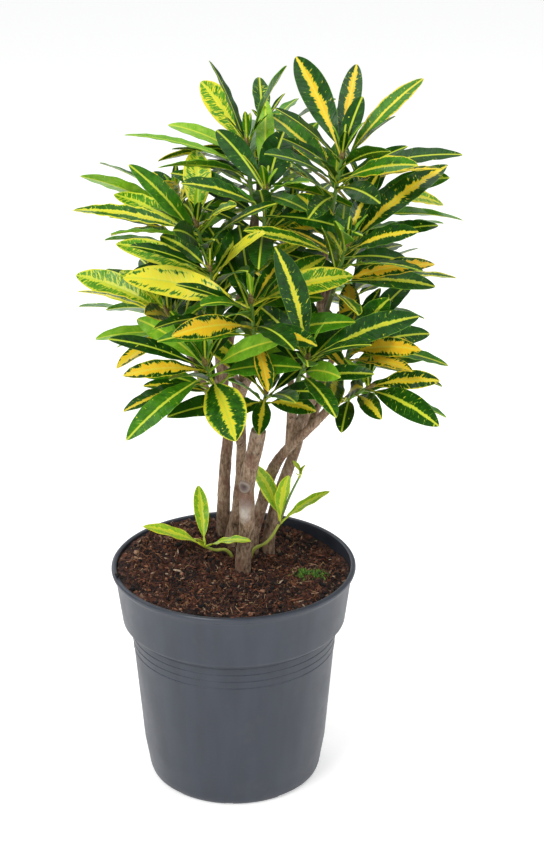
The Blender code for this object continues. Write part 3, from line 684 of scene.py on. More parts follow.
skin = node(tree, "Mix", {0: near_knot, 6: skin.outputs[2], 7: ring}, data_type="RGBA")
relief = node(tree, "Bump", {"Height": cracks.outputs["Fac"], "Strength": 0.7,
                             "Distance": 0.0006})
tree.links.new(skin.outputs[2], shader.inputs["Base Color"])
tree.links.new(relief.outputs[0], shader.inputs["Normal"])
shader.inputs["Roughness"].default_value = 0.8
for name, trunk in trunks.items():
    hand_in(trunk, bark, name)


# Green stems: the leafy shoots' own stems, which go on from the woody limbs, green under a thin
# brown skin, with a knuckle where each old leaf stood.
# A shoot is its stem's tip (mm), the leaves placed one by one, then how many more follow up the
# stem in a spiral and the bearing of the first.  A leaf is its place along the stem, bearing,
# rise, length, width and roll; bearing 0 is +X and 90 is +Y.
SHOOTS = {
    "shoot_front_low": ((-19, -70, 404), [
        (0.80, -75, -15, 85, 33, 20), (0.90, -35, 30, 85, 18, 60), (0.85, -130, -15, 100, 19, -25),
        (0.95, 130, 10, 95, 19, -45), (0.90, -145, 10, 80, 15, -45), (0.70, -135, 5, 85, 16, -20),
        ], 7, 60),
    "shoot_front_middle": ((17, -85, 461), [
        (0.92, 155, 5, 115, 25, -60), (0.97, 40, 5, 95, 21, 55), (0.65, -135, 10, 88, 18, -65),
        (0.55, -105, -20, 60, 16, -25), (0.60, -55, 5, 70, 16, 55),
        ], 9, 100),
    "shoot_front_right": ((60, -88, 416), [
        (0.95, 30, 10, 108, 22, 45), (0.90, 195, 68, 98, 22, -65), (1.00, 148, 58, 58, 19, -55),
        (0.65, -60, 15, 60, 16, 60),
        ], 9, -40),
    "shoot_front_stump": ((28, -55, 374), [
        (0.90, -35, 25, 78, 16, 50), (0.75, -55, 10, 60, 16, 60), (0.90, -95, -10, 55, 15, -10),
        (0.80, -115, 5, 50, 14, -40), (0.90, 90, 5, 50, 14, 0),
        ], 4, 150),
    "shoot_front_left": ((-15, -50, 475), [
        (0.90, 160, 10, 92, 19, -50), (1.00, 130, 5, 85, 18, -55), (0.60, -90, 0, 45, 15, 0),
        ], 10, -160),
    "shoot_top_right": ((88, 0, 552), [
        (1.00, 115, 38, 108, 24, -30), (0.95, 80, 35, 108, 18, 0), (0.90, 45, 30, 115, 17, 10),
        (0.80, 20, 5, 110, 18, 25), (0.75, -45, 20, 90, 17, 50), (0.75, 130, 25, 95, 22, -30),
        (0.95, 60, 45, 60, 15, 10), (0.70, -65, 5, 75, 18, 40), (0.60, -110, 0, 65, 16, -30),
        ], 6, 170),
    "shoot_top_left": ((13, 30, 554), [
        (0.95, 120, 28, 90, 22, -40), (0.85, 140, 10, 90, 16, -15), (0.75, 158, 12, 108, 16, 0),
        ], 10, 30),
    "shoot_high_middle": ((28, -10, 527), [
        (0.95, 70, 45, 62, 26, 20), (0.80, 145, 10, 97, 18, -45), (1.00, 125, 20, 80, 19, -45),
        (1.00, 65, 35, 108, 18, 5), (0.90, 90, 38, 105, 15, 0), (0.35, 60, 20, 52, 18, 40),
        ], 10, -60),
    "shoot_high_left": ((-26, -20, 502), [
        (1.00, 92, 42, 82, 23, 0), (0.90, 160, 5, 112, 18, -25), (0.80, 140, 5, 100, 18, -25),
        (0.70, -125, 20, 80, 18, -70), (1.00, 120, 0, 70, 16, -50), (0.90, 60, 15, 60, 16, 20),
        ], 9, -60),
    "shoot_high_right": ((91, -40, 492), [
        (0.95, 40, 30, 112, 22, 25), (0.90, 105, 35, 75, 22, -25), (0.95, 30, 5, 90, 16, 20),
        (0.90, -45, 25, 85, 16, 55), (0.85, 40, -15, 80, 15, 45), (0.50, -35, 25, 85, 15, 45),
        ], 9, -96),
    "shoot_right": ((98, -20, 399), [
        (0.90, 35, 0, 85, 18, 40), (0.90, -45, 25, 80, 16, 75), (1.00, 25, -15, 88, 15, 20),
        (1.00, 50, 25, 95, 17, 30), (0.95, 90, 30, 75, 18, 0), (0.75, -50, 10, 80, 15, 20),
        ], 8, 130),
    "shoot_right_low": ((109, -45, 375), [
        (0.95, -55, 0, 95, 21, 55), (0.70, -75, 5, 70, 16, 45), (0.40, -60, 30, 70, 15, 75),
        (1.00, -25, 15, 65, 16, 60), (0.57, -100, -5, 50, 15, 0),
        ], 4, 40),
    "shoot_right_back": ((111, 35, 512), [
        (1.00, 40, -15, 92, 18, 40), (0.90, 60, -15, 85, 16, 20), (0.95, -30, 20, 75, 18, 60),
        ], 8, 120),
    "shoot_left": ((-50, -10, 425), [
        (0.95, 155, 15, 92, 23, -40), (0.80, -135, 0, 70, 18, -50), (0.60, -125, -10, 65, 15, -20),
        (0.95, 135, 22, 80, 18, -20), (0.90, 110, 30, 75, 17, 0),
        ], 8, -60),
    "shoot_back_left_low": ((-50, 80, 405), [], 10, 200),
    "shoot_back_left": ((-48, 68, 498), [], 11, 160),
    "shoot_back_middle": ((50, 98, 478), [], 11, 90),
    "shoot_back_right": ((106, 72, 446), [], 11, 20),
    "shoot_back_top": ((26, 74, 556), [], 11, 120),
    "shoot_back_low": ((36, 108, 404), [], 10, 60),
}
CARRIERS = {each[-1]: each for limbs in TRUNKS.values() for each in limbs}
STEM_RADIUS = 0.0023
BUD = 0.006                 # how far a shoot's bud reaches past its last leaf


def stem_ends(name):
    """Foot and tip of a shoot's green stem; the foot is where its limb ends."""
    return mm(CARRIERS[name][-4]), mm(SHOOTS[name][0])


def stem_points(name):
    """A shoot's green stem: it leaves in line with its limb, then bends to its own bud."""
    before, foot = [mm(point) for point in CARRIERS[name][-5:-3]]
    tip = stem_ends(name)[1]
    onward = (foot - before).normalized()
    ahead = (tip - foot).normalized()
    return [foot + onward * GAP, foot + onward * BUD, foot.lerp(tip, 0.5), tip + ahead * BUD]


# Soft shoot bark: waxy, grass green towards the bud, with a brown skin that flakes into rings.
shoot_bark, tree, shader = new_material("soft_shoot_bark")
place = node(tree, "TexCoord").outputs["Object"]
along = node(tree, "Attribute", attribute_name="along")
patches = node(tree, "TexNoise", {"Vector": place, "Scale": 210.0, "Detail": 5})
ripe = node(tree, "Math", {0: patches.outputs["Fac"], 1: 0.9, 2: along.outputs["Fac"]},
            operation="MULTIPLY_ADD")
hues = node(tree, "ValToRGB", {0: ripe}, steps=((0.45, "#6d5a45"), (0.65, "#6b6a3d"),
                                                (1.0, "#6f9440")))
relief = node(tree, "Bump", {"Height": patches.outputs["Fac"], "Strength": 0.5,
                             "Distance": 0.0004})
tree.links.new(hues.outputs[0], shader.inputs["Base Color"])
tree.links.new(relief.outputs[0], shader.inputs["Normal"])
shader.inputs["Roughness"].default_value = 0.5


def green_stem(name, points, radii, skin, stands_for):
    """A stem with its knuckles; the attribute "along" runs from 0 at its foot to 1."""
    stem = limb(points, radii, around=5, along=12)
    stem.name = name
    foot, tip = points[0], points[-1]
    axis = tip - foot
    shares = []
    outward = [corner.normal.copy() for corner in stem.data.vertices]
    for corner, away in zip(stem.data.vertices, outward):
        share = min(max((corner.co - foot).dot(axis) / axis.length_squared, 0.0), 1.0)
        knuckle = max(0.0, cos(2 * pi * share * axis.length / 0.0075)) ** 6
        corner.co += away * 0.00035 * knuckle * sin(pi * share)
        shares.append(share)
    stem.data.attributes.new("along", "FLOAT", "POINT").data.foreach_set("value", shares)
    bpy.ops.object.shade_smooth_by_angle(angle=radians(60))
    hand_in(stem, skin, stands_for)


for name in SHOOTS:
    green_stem(name.replace("shoot", "stem"), stem_points(name),
               (STEM_RADIUS + 0.0004, 0.0013), shoot_bark, name)


# Leaves: narrow leathery blades on short stalks, each a shallow V along a raised midrib, with
# wavy margins.  Every one grows out of its stem and turns aside where it would touch another.
ARCH = radians(26)          # how far a leaf bends down from stalk to tip
FOLD = 0.16                 # how much the two halves rise from the midrib
PETIOLE = 0.14              # bare share of a leaf's length
PETIOLE_HALF = 0.0012
BASE_TAPER = 0.85           # the outline's two exponents: lower is blunter
TIP_TAPER = 0.72
STATIONS = (0.0, 0.18, 0.42, 0.7, 1.0)
CLEARANCE = 0.0016          # half the thickness that a leaf asks for when it looks for room
GOLDEN_ANGLE = 137.5
SPIRAL_STEP = 0.075         # share of the stem from one leaf of a spiral to the next
LEAN = 38                   # most that a blade leans outwards, in degrees
LOWEST_FILL = 6             # least rise of a leaf in a spiral, in degrees
CROWN_CENTRE = (25, 5)      # axis of the crown (mm)
MOST_TWIST = 0.35           # of a blade about its midrib, in radians
BLADE_THICKNESS = 0.00045
RIB_HEIGHT = 0.0009
GROOVE_DEPTH = 0.00025
STALK_ROWS = 4
BLADE_ROWS = 34
COLUMNS = 12
Leaf = namedtuple("Leaf", "base bearing rise length width roll")


def half_width(u):
    """Half the leaf's width at u along it, as a share of the full width: an oblong lance."""
    if not PETIOLE < u < 1.0:
        return 0.0
    t = (u - PETIOLE) / (1 - PETIOLE)
    widest = BASE_TAPER / (BASE_TAPER + TIP_TAPER)
    top = widest ** BASE_TAPER * (1 - widest) ** TIP_TAPER
    return 0.5 * t ** BASE_TAPER * (1 - t) ** TIP_TAPER / top


def leaf_frame(leaf, u, twist=0.0):
    """Point on the arch at u, then the directions across the blade and out of its face."""
    start = leaf.rise + ARCH / 2
    angle = start - ARCH * u
    forward = Vector((cos(leaf.bearing), sin(leaf.bearing), 0.0))
    upward = Vector((0.0, 0.0, 1.0))
    run = (sin(start) - sin(angle)) / ARCH
    climb = (cos(angle) - cos(start)) / ARCH
    spine = leaf.base + (forward * run + upward * climb) * leaf.length
    normal = upward * cos(angle) - forward * sin(angle)
    side = upward.cross(forward)
    roll = leaf.roll * min(1.0, u / 0.4) + twist * max(0.0, u - 0.3)
    across = side * cos(roll) + normal * sin(roll)
    return spine, across, normal * cos(roll) - side * sin(roll)


def leaf_point(leaf, u, v, lift=0.0, spread=0.0):
    """A point at u along the leaf's arch and v across it, raised from its surface by lift.
    Spread is added to its half width."""
    spine, across, normal = leaf_frame(leaf, u)
    half = max(half_width(u) * leaf.width, PETIOLE_HALF * (1 - 0.5 * u)) + spread
    return spine + across * v * half + normal * (abs(v) * half * FOLD + lift)


def leaf_shell(leaf, first=0):
    """A closed, slightly thick copy of a leaf, to test it against what already grows there."""
    points = []
    stations = STATIONS[first:-1] + (1.0 + CLEARANCE / leaf.length,)
    for lift in (CLEARANCE, -CLEARANCE):
        for u in stations:
            points += [leaf_point(leaf, u, v, lift, 0.6 * CLEARANCE) for v in (-1, 0, 1)]
    rows = len(stations)
    under = 3 * rows
    faces = []
    for i in range(rows - 1):
        for j in range(2):
            a = 3 * i + j
            faces.append((a, a + 1, a + 4, a + 3))
            faces.append((under + a, under + a + 3, under + a + 4, under + a + 1))
        for a in (3 * i, 3 * i + 2):
            faces.append((a, a + 3, under + a + 3, under + a))
    for a in (0, 1, 3 * rows - 3, 3 * rows - 2):
        faces.append((a, a + 1, under + a + 1, under + a))
    return BVHTree.FromPolygons(points, faces)


def stem_shell(points, radius):
    """A square tube round a stem, for the same test."""
    corners = []
    for i, point in enumerate(points):
        ahead = (points[min(i + 1, len(points) - 1)] - points[max(i - 1, 0)]).normalized()
        side = ahead.cross(Vector((0.3, 1.0, 0.2))).normalized() * radius
        other = ahead.cross(side)
        corners += [point + side, point + other, point - side, point - other]
    faces = []
    for i in range(len(points) - 1):
        for j in range(4):
            a = 4 * i + j
            b = 4 * i + (j + 1) % 4
            faces.append((a, b, b + 4, a + 4))
    return BVHTree.FromPolygons(corners, faces)


def leaf_at(foot, tip, entry):
    """A leaf from its table entry, on a stem from foot to tip."""
    place, bearing, rise, length, width, roll = entry
    base = foot.lerp(tip, place)
    return Leaf(base, radians(bearing), radians(rise), length / 1000, width / 1000,
                radians(roll))


def spiral(tip, count, first):
    """Leaves up a stem by the golden angle.  High ones stand up and low ones spread, those that
    point out of the crown hang lower, and all lean their upper faces outwards."""
    outward = atan2(tip[1] - CROWN_CENTRE[1], tip[0] - CROWN_CENTRE[0])
    entries = []
    for i in range(count):
        bearing = first + GOLDEN_ANGLE * i
        aside = radians(bearing) - outward
        rise = max(38 - 4 * i - 16 * max(0.0, cos(aside)), LOWEST_FILL)
        length = 74 + 6 * min(i, 3) - 5 * max(i - 4, 0) + 6 * sin(2.1 * first + 1.7 * i)
        width = 18 + 3 * sin(1.3 * first + 2.3 * i)
        entries.append((0.97 - SPIRAL_STEP * i, bearing, rise, length, width, LEAN * sin(aside)))
    return entries


def turns():
    """Small turns of bearing and rise that a crowded leaf tries, the least first."""
    steps = [(9 * i, 8 * j) for i in range(-5, 6) for j in range(-4, 5)]
    return sorted(steps, key=lambda step: (hypot(step[0], 1.3 * step[1]), step))


def grow_leaves():
    """Settles every leaf: each one turns aside until it touches none that grew before it."""
    stems = []
    for name, limbs in TRUNKS.items():
        stems += [(name, stem_shell([mm(p) for p in each[:-3]], each[-3] / 1000))
                  for each in limbs]
    for name in SHOOTS:
        stems.append((name, stem_shell(stem_points(name), STEM_RADIUS + 0.0006)))
    wanted = [(name, entry) for name, shoot in SHOOTS.items() for entry in shoot[1]]
    for name, (tip, _, count, first) in SHOOTS.items():
        wanted += [(name, entry) for entry in spiral(tip, count, first)]
    grown = {name: [] for name in SHOOTS}
    settled = []
    for name, entry in wanted:
        first = leaf_at(*stem_ends(name), entry)
        for bearing, rise in turns():
            leaf = first._replace(bearing=first.bearing + radians(bearing),
                                  rise=first.rise + radians(rise))
            if has_room(name, leaf, settled, stems):
                grown[name].append(leaf)
                settled.append((name, leaf, leaf_shell(leaf), leaf_shell(leaf, 1)))
                break
    return grown, settled, stems


def has_room(name, leaf, settled, stems):
    """Whether a leaf touches neither a stem nor a settled leaf; leaves of one shoot may meet at
    their stalks."""
    whole = leaf_shell(leaf)
    blade = leaf_shell(leaf, 1)
    for other, shell in stems:
        if (blade if other == name else whole).overlap(shell):
            return False
    for other, rival, shell, rival_blade in settled:
        reach = leaf.length + rival.length
        if (leaf.base - rival.base).length > reach:
            continue
        if other == name and blade.overlap(rival_blade):
            return False
        if other != name and whole.overlap(shell):
            return False
    return True


def blade_station(row):
    """Where a row of the blank falls along a leaf: the stalk's rows, then the blade's, closer
    together at its blunt base and tip."""
    if row <= STALK_ROWS:
        return PETIOLE * row / STALK_ROWS
    even = (row - STALK_ROWS) / BLADE_ROWS
    return PETIOLE + (1 - PETIOLE) * (0.55 * even + 0.45 * (0.5 - 0.5 * cos(pi * even)))


# The blank: a flat strip, its rows and columns drawn to the leaf's stations, with a thickness.
bpy.ops.mesh.primitive_grid_add(x_subdivisions=STALK_ROWS + BLADE_ROWS, y_subdivisions=COLUMNS,
                                size=2)
blank = bpy.context.object
for corner in blank.data.vertices:
    row = round((corner.co.x + 1) / 2 * (STALK_ROWS + BLADE_ROWS))
    corner.co.x = blade_station(row)
    corner.co.y = (1 if corner.co.y > 0 else -1) * abs(corner.co.y) ** 1.35
apply_modifier(blank, "SOLIDIFY", thickness=1.0, offset=-1.0, material_offset=1)
bpy.ops.object.shade_smooth_by_angle(angle=radians(60))
blank_corners = [corner.co.copy() for corner in blank.data.vertices]


def leaf_finish(name, underside):
    """A leaf skin drawn on the blade's own millimetres.  Attribute "blade" is the distance along
    and across and the share of the half width; "mark" is how wide the gold midrib band and the
    yellow margin are and how feathered the green is; "tone" is youth, ochre and a seed."""
    made, tree, shader = new_material(name)
    sources = []
    for attribute in ("blade", "mark", "tone"):
        source = node(tree, "Attribute", attribute_name=attribute).outputs["Vector"]
        sources += node(tree, "SeparateXYZ", {0: source}).outputs[:3]
    along, across, share, gold, rim, feather, youth, ochre, seed = sources
    aside = node(tree, "Math", {0: across}, operation="ABSOLUTE")
    out = node(tree, "Math", {0: share}, operation="ABSOLUTE")
    half = node(tree, "Math", {0: across}, operation="SIGN")
    half = node(tree, "Math", {0: half, 1: 7.0}, operation="MULTIPLY")
    # each noise is drawn at a spot of its own: a scaled place on the blade, set off by the seed
    seeds = {far: node(tree, "Math", {0: seed, 1: far}, operation="ADD")
             for far in (4.0, 9.0, 17.0, 23.0)}
    x = node(tree, "Math", {0: along, 1: 0.13}, operation="MULTIPLY")
    y = node(tree, "Math", {0: across, 1: 0.13}, operation="MULTIPLY")
    spot = node(tree, "CombineXYZ", {0: x, 1: y, 2: seed})
    drift = node(tree, "TexNoise", {"Vector": spot, "Scale": 1.0})

    # side veins leave the midrib at 55 degrees, about 5 mm apart
    vein = node(tree, "Math", {0: aside, 1: -0.7, 2: along}, operation="MULTIPLY_ADD")
    vein = node(tree, "Math", {0: drift, 1: 5.0, 2: vein}, operation="MULTIPLY_ADD")
    x = node(tree, "Math", {0: vein, 1: 0.42}, operation="MULTIPLY")
    y = node(tree, "Math", {0: aside, 1: 0.09, 2: half}, operation="MULTIPLY_ADD")
    spot = node(tree, "CombineXYZ", {0: x, 1: y, 2: seed})
    streak = node(tree, "TexNoise", {"Vector": spot, "Scale": 1.0, "Detail": 3.0,
                                     "Roughness": 0.6})
    streak = node(tree, "Math", {0: streak, 1: 0.5}, operation="SUBTRACT")

    # the gold band along the midrib and the yellow margin: each swells and frays along the veins
    from_rib = node(tree, "Math", {0: 0.0, 1: out}, operation="SUBTRACT")
    from_rim = node(tree, "Math", {0: out, 1: 1.04}, operation="SUBTRACT")
    edges = []
    for width, pace, far, fray, offset, sharp in ((gold, 0.07, 4.0, 2.4, from_rib, 11.0),
                                                  (rim, 0.09, 9.0, 2.6, from_rim, 9.0)):
        x = node(tree, "Math", {0: along, 1: pace}, operation="MULTIPLY")
        spot = node(tree, "CombineXYZ", {0: x, 1: half, 2: seeds[far]})
        swell = node(tree, "TexNoise", {"Vector": spot, "Scale": 1.0, "Detail": 1.0})
        swell = node(tree, "Math", {0: swell, 1: 1.6, 2: 0.2}, operation="MULTIPLY_ADD")
        band = node(tree, "Math", {0: width, 1: swell}, operation="MULTIPLY")
        ragged = node(tree, "Math", {0: width, 1: fray}, operation="MULTIPLY")
        ragged = node(tree, "Math", {0: streak, 1: ragged}, operation="MULTIPLY")
        band = node(tree, "Math", {0: band, 1: ragged}, operation="ADD")
        band = node(tree, "Math", {0: band, 1: offset}, operation="ADD")
        edges.append(node(tree, "Math", {0: band, 1: sharp, 2: 0.5}, use_clamp=True,
                          operation="MULTIPLY_ADD"))

    # flames between the veins, and a few round dots
    x = node(tree, "Math", {0: vein, 1: 0.75}, operation="MULTIPLY")
    y = node(tree, "Math", {0: aside, 1: 0.2, 2: half}, operation="MULTIPLY_ADD")
    spot = node(tree, "CombineXYZ", {0: x, 1: y, 2: seeds[17.0]})
    flame = node(tree, "TexNoise", {"Vector": spot, "Scale": 1.0, "Roughness": 0.6})
    least = node(tree, "Math", {0: feather, 1: -0.26, 2: 0.72}, operation="MULTIPLY_ADD")
    flame = node(tree, "Math", {0: flame, 1: least}, operation="SUBTRACT")
    flame = node(tree, "Math", {0: flame, 1: 10.0, 2: 0.5}, use_clamp=True,
                 operation="MULTIPLY_ADD")
    z = node(tree, "Math", {0: seed, 1: 31.0}, operation="MULTIPLY")
    spot = node(tree, "CombineXYZ", {0: along, 1: across, 2: z})
    cells = node(tree, "TexVoronoi", {"Vector": spot, "Scale": 0.2})
    pick = node(tree, "SeparateColor", {0: cells.outputs["Color"]})
    pick = node(tree, "Math", {0: pick, 1: 0.72}, operation="SUBTRACT")
    pick = node(tree, "Math", {0: pick, 1: 30.0, 2: 0.5}, use_clamp=True,
                operation="MULTIPLY_ADD")
    dots = node(tree, "Math", {0: 0.11, 1: cells.outputs["Distance"]}, operation="SUBTRACT")
    dots = node(tree, "Math", {0: dots, 1: 30.0, 2: 0.5}, use_clamp=True,
                operation="MULTIPLY_ADD")
    dots = node(tree, "Math", {0: dots, 1: pick}, operation="MULTIPLY")
    yellow = node(tree, "Math", {0: edges[0], 1: edges[1]}, operation="MAXIMUM")
    for more in (flame, dots):
        yellow = node(tree, "Math", {0: yellow, 1: more}, operation="MAXIMUM")

    # green under the yellow, with a lime seam where the two meet
    x = node(tree, "Math", {0: along, 1: 0.16}, operation="MULTIPLY")
    y = node(tree, "Math", {0: across, 1: 0.22}, operation="MULTIPLY")
    spot = node(tree, "CombineXYZ", {0: x, 1: y, 2: seeds[23.0]})
    mottle = node(tree, "TexNoise", {"Vector": spot, "Scale": 1.0, "Detail": 4.0})
    blotch = node(tree, "Math", {0: mottle, 1: 0.5}, operation="SUBTRACT")
    ripe = node(tree, "Math", {0: blotch, 1: 0.5, 2: youth}, operation="MULTIPLY_ADD")
    ripe = node(tree, "Math", {0: streak, 1: 0.25, 2: ripe}, operation="MULTIPLY_ADD")
    greens = node(tree, "ValToRGB", {0: ripe}, steps=((0.0, "#123307"), (0.25, "#21540c"),
                                                      (0.55, "#4b8a14"), (0.8, "#7cb422"),
                                                      (1.0, "#a5cb3c")))
    warm = node(tree, "Math", {0: blotch, 1: 0.6, 2: ochre}, operation="MULTIPLY_ADD")
    golds = node(tree, "ValToRGB", {0: warm}, steps=((0.0, "#d2df3c"), (0.5, "#f2d92c"),
                                                     (1.0, "#efb424")))
    skin = greens.outputs[0]
    for level, sharp, over in ((0.25, 2.0, linear("#7bb02e")), (0.7, 2.2, golds)):
        cover = node(tree, "Math", {0: yellow, 1: level}, operation="SUBTRACT")
        cover = node(tree, "Math", {0: cover, 1: sharp, 2: 0.5}, use_clamp=True,
                     operation="MULTIPLY_ADD")
        skin = node(tree, "Mix", {0: cover, 6: skin, 7: over}, data_type="RGBA").outputs[2]
    midrib = node(tree, "Math", {0: 0.75, 1: aside}, operation="SUBTRACT")
    midrib = node(tree, "Math", {0: midrib, 1: 1.8, 2: 0.5}, use_clamp=True,
                  operation="MULTIPLY_ADD")
    midrib = node(tree, "Math", {0: midrib, 1: 0.85}, operation="MULTIPLY")
    pale_rib = node(tree, "Mix", {0: ochre, 6: linear("#c3d93c"), 7: linear("#f0d746")},
                    data_type="RGBA").outputs[2]
    skin = node(tree, "Mix", {0: midrib, 6: skin, 7: pale_rib}, data_type="RGBA").outputs[2]
    # the underside goes a third of the way to pale yellow green: partly its own paler colour,
    # partly painted light shining through the thin blade
    if underside:
        skin = node(tree, "Mix", {0: 0.34, 6: skin, 7: linear("#a3b76c")},
                    data_type="RGBA").outputs[2]

    # furrows over the side veins, and a slight puckering
    furrow = node(tree, "Math", {0: vein, 1: 2 * pi / 5.2}, operation="MULTIPLY")
    furrow = node(tree, "Math", {0: furrow}, operation="COSINE")
    furrow = node(tree, "Math", {0: furrow, 1: 0.5, 2: 0.5}, operation="MULTIPLY_ADD")
    furrow = node(tree, "Math", {0: furrow, 1: 5.0}, operation="POWER")
    furrow = node(tree, "Math", {0: furrow, 1: -0.6}, operation="MULTIPLY")
    height = node(tree, "Math", {0: mottle, 1: 0.8, 2: furrow}, operation="MULTIPLY_ADD")
    relief = node(tree, "Bump", {"Height": height, "Strength": 0.35, "Distance": 0.0004})
    tree.links.new(skin, shader.inputs["Base Color"])
    tree.links.new(relief.outputs[0], shader.inputs["Normal"])
    shader.inputs["Roughness"].default_value = 0.5 if underside else 0.3
    shader.inputs["IOR"].default_value = 1.47
    shader.inputs["Specular IOR Level"].default_value = 0.26
    return made


# Croton leaf: the upper skin is thick, waxed and glossy; the underside is matt and paler, partly
# its own colour and partly painted light shining through the blade.
upper_skin = leaf_finish("waxed_croton_leaf", False)
under_skin = leaf_finish("croton_leaf_underside", True)

# What a leaf of each kind shows: gold band and yellow margin as shares of the half width,
# feathering, youth (light green) and ochre (deep yellow)
KINDS = {
    "d": (0.06, 0.00, 0.00, 0.16, 0.10),    # dark, with a lime midrib
    "y": (0.15, 0.03, 0.10, 0.20, 0.25),    # dark, with a yellow stripe
    "b": (0.26, 0.02, 0.12, 0.14, 0.72),    # dark, with a broad golden band
    "h": (0.26, 0.16, 0.20, 0.30, 0.30),    # green, broad ragged band, flecked margin
    "g": (0.62, 0.10, 0.30, 0.12, 0.80),    # golden, dark blotches
    "w": (0.56, 0.30, 0.50, 0.42, 0.35),    # mostly yellow
    "f": (0.20, 0.24, 0.62, 0.60, 0.20),    # light, feathered, yellow margin
    "l": (0.08, 0.03, 0.10, 0.80, 0.10),    # light green
    "m": (0.09, 0.03, 0.08, 0.45, 0.15),    # mid green
    "p": (0.14, 0.16, 0.15, 0.42, 0.55),    # green with a pale margin
    "s": (0.11, 0.02, 0.22, 0.22, 0.25),    # dark and spotted
    "k": (0.30, 0.12, 0.34, 0.16, 0.72),    # dark with golden blotches
    "t": (0.34, 0.22, 0.40, 0.90, 0.02),    # tender sprout leaf
}
LOOKS = {                   # kinds of the leaves placed one by one, in their order
    "shoot_front_low": "hlmlgb", "shoot_front_middle": "wfggb", "shoot_front_right": "yysl",
    "shoot_front_stump": "dbbbd", "shoot_front_left": "fyd", "shoot_top_right": "bbpdppdds",
    "shoot_top_left": "fll", "shoot_high_middle": "dydmlf", "shoot_high_left": "fhfddl",
    "shoot_high_right": "bhdbdg", "shoot_right": "sgmdgg", "shoot_right_low": "sbbkd",
    "shoot_right_back": "fmm", "shoot_left": "fkgff", "shoot_back_left_low": "",
    "shoot_back_left": "", "shoot_back_middle": "", "shoot_back_right": "",
    "shoot_back_top": "", "shoot_back_low": "",
}
FILL_LOOKS = {"left": "ddmmmlfyhw", "right": "dddmyysmhk"}


def lay_leaf(name, leaf, kind, stands_for, twist=0.0):
    """A copy of the blank laid along a leaf's arch, with its stalk, midrib and wavy margin."""
    piece = bpy.data.objects.new(name, blank.data.copy())
    bpy.context.scene.collection.objects.link(piece)
    gold, rim, feather, youth, ochre = KINDS[kind]
    vary = [dice.uniform(0.8, 1.2) for _ in range(3)]
    seed = dice.uniform(0.0, 90.0)
    tone = (youth + dice.uniform(-0.06, 0.06), ochre + dice.uniform(-0.12, 0.12), seed)
    wave_length, phase = dice.uniform(0.013, 0.021), dice.uniform(0, 2 * pi)
    wave_height = dice.uniform(0.0003, 0.0008)
    rows, spots, blades = {}, [], []
    for u, v, z in blank_corners:
        if u not in rows:
            broad = half_width(u) * leaf.width
            stalk = min(max((0.2 - u) / 0.1, 0.0), 1.0)
            half = max(broad, PETIOLE_HALF * (1 - 0.25 * u) * stalk, 0.00025)
            rows[u] = (*leaf_frame(leaf, u, twist), half, stalk)
        spine, across, normal, half, stalk = rows[u]
        width = v * half
        wave = wave_height * v * v * sin(2 * pi * u * leaf.length / wave_length + phase
                                         + (2.2 if v > 0 else 0.0)) * sin(pi * u)
        rise = abs(v) ** 1.25 * half * FOLD + wave * (1 - stalk)
        round_side = sqrt(max(0.0, 1 - v * v)) * half * stalk
        if z > -0.5:
            lift = 0.6 * round_side - (1 - stalk) * GROOVE_DEPTH * exp(-(width / 0.0009) ** 2)
        else:
            rib = RIB_HEIGHT * (1 - 0.75 * u) * exp(-(width / 0.0011) ** 2)
            lift = -round_side - (1 - stalk) * (BLADE_THICKNESS + rib) - 0.0002 * stalk
        spots += (spine + across * width + normal * (rise + lift))[:]
        blades += (u * leaf.length * 1000, width * 1000, v)
    piece.data.vertices.foreach_set("co", spots)
    count = len(blank_corners)
    marks = (gold * vary[0], rim * vary[1], feather * vary[2])
    for label, values in (("blade", blades), ("mark", marks * count), ("tone", tone * count)):
        piece.data.attributes.new(label, "FLOAT_VECTOR", "POINT").data.foreach_set("vector",
                                                                                   values)
    hand_in(piece, upper_skin, stands_for)
    piece.data.materials.append(under_skin)
    piece.data.update()


dice = random.Random(29)
grown, settled, stems = grow_leaves()
for name, leaves in grown.items():
    looks = LOOKS[name]
    side = "left" if stem_ends(name)[1].x < 0.02 else "right"
    for i, leaf in enumerate(leaves):
        kind = looks[i] if i < len(looks) else dice.choice(FILL_LOOKS[side])
        lay_leaf(name.replace("shoot", "leaf") + f"_{i + 1}", leaf, kind, name,
                 dice.uniform(-MOST_TWIST, MOST_TWIST))


# Inner leaves: shorter, older ones that fill what room is left between the others.
INNER_COUNT = 6
INNER_BACK_COUNT = 9
for name in SHOOTS:
    foot, tip = stem_ends(name)
    for i in range(INNER_BACK_COUNT if "back" in name else INNER_COUNT):
        entry = (0.93 - 0.09 * i, 65 + 97 * i + dice.uniform(-20, 20), dice.uniform(8, 44),
                 dice.uniform(50, 72), dice.uniform(14, 19), dice.uniform(-25, 25))
        first = leaf_at(foot, tip, entry)
        for bearing, rise in turns()[::2]:
            leaf = first._replace(bearing=first.bearing + radians(bearing),
                                  rise=first.rise + radians(rise))
            if has_room(name, leaf, settled, stems):
                settled.append((name, leaf, leaf_shell(leaf), leaf_shell(leaf, 1)))
                lay_leaf(name.replace("shoot", "inner_leaf") + f"_{i + 1}", leaf,
                         dice.choice("ddmysb"), name)
                break


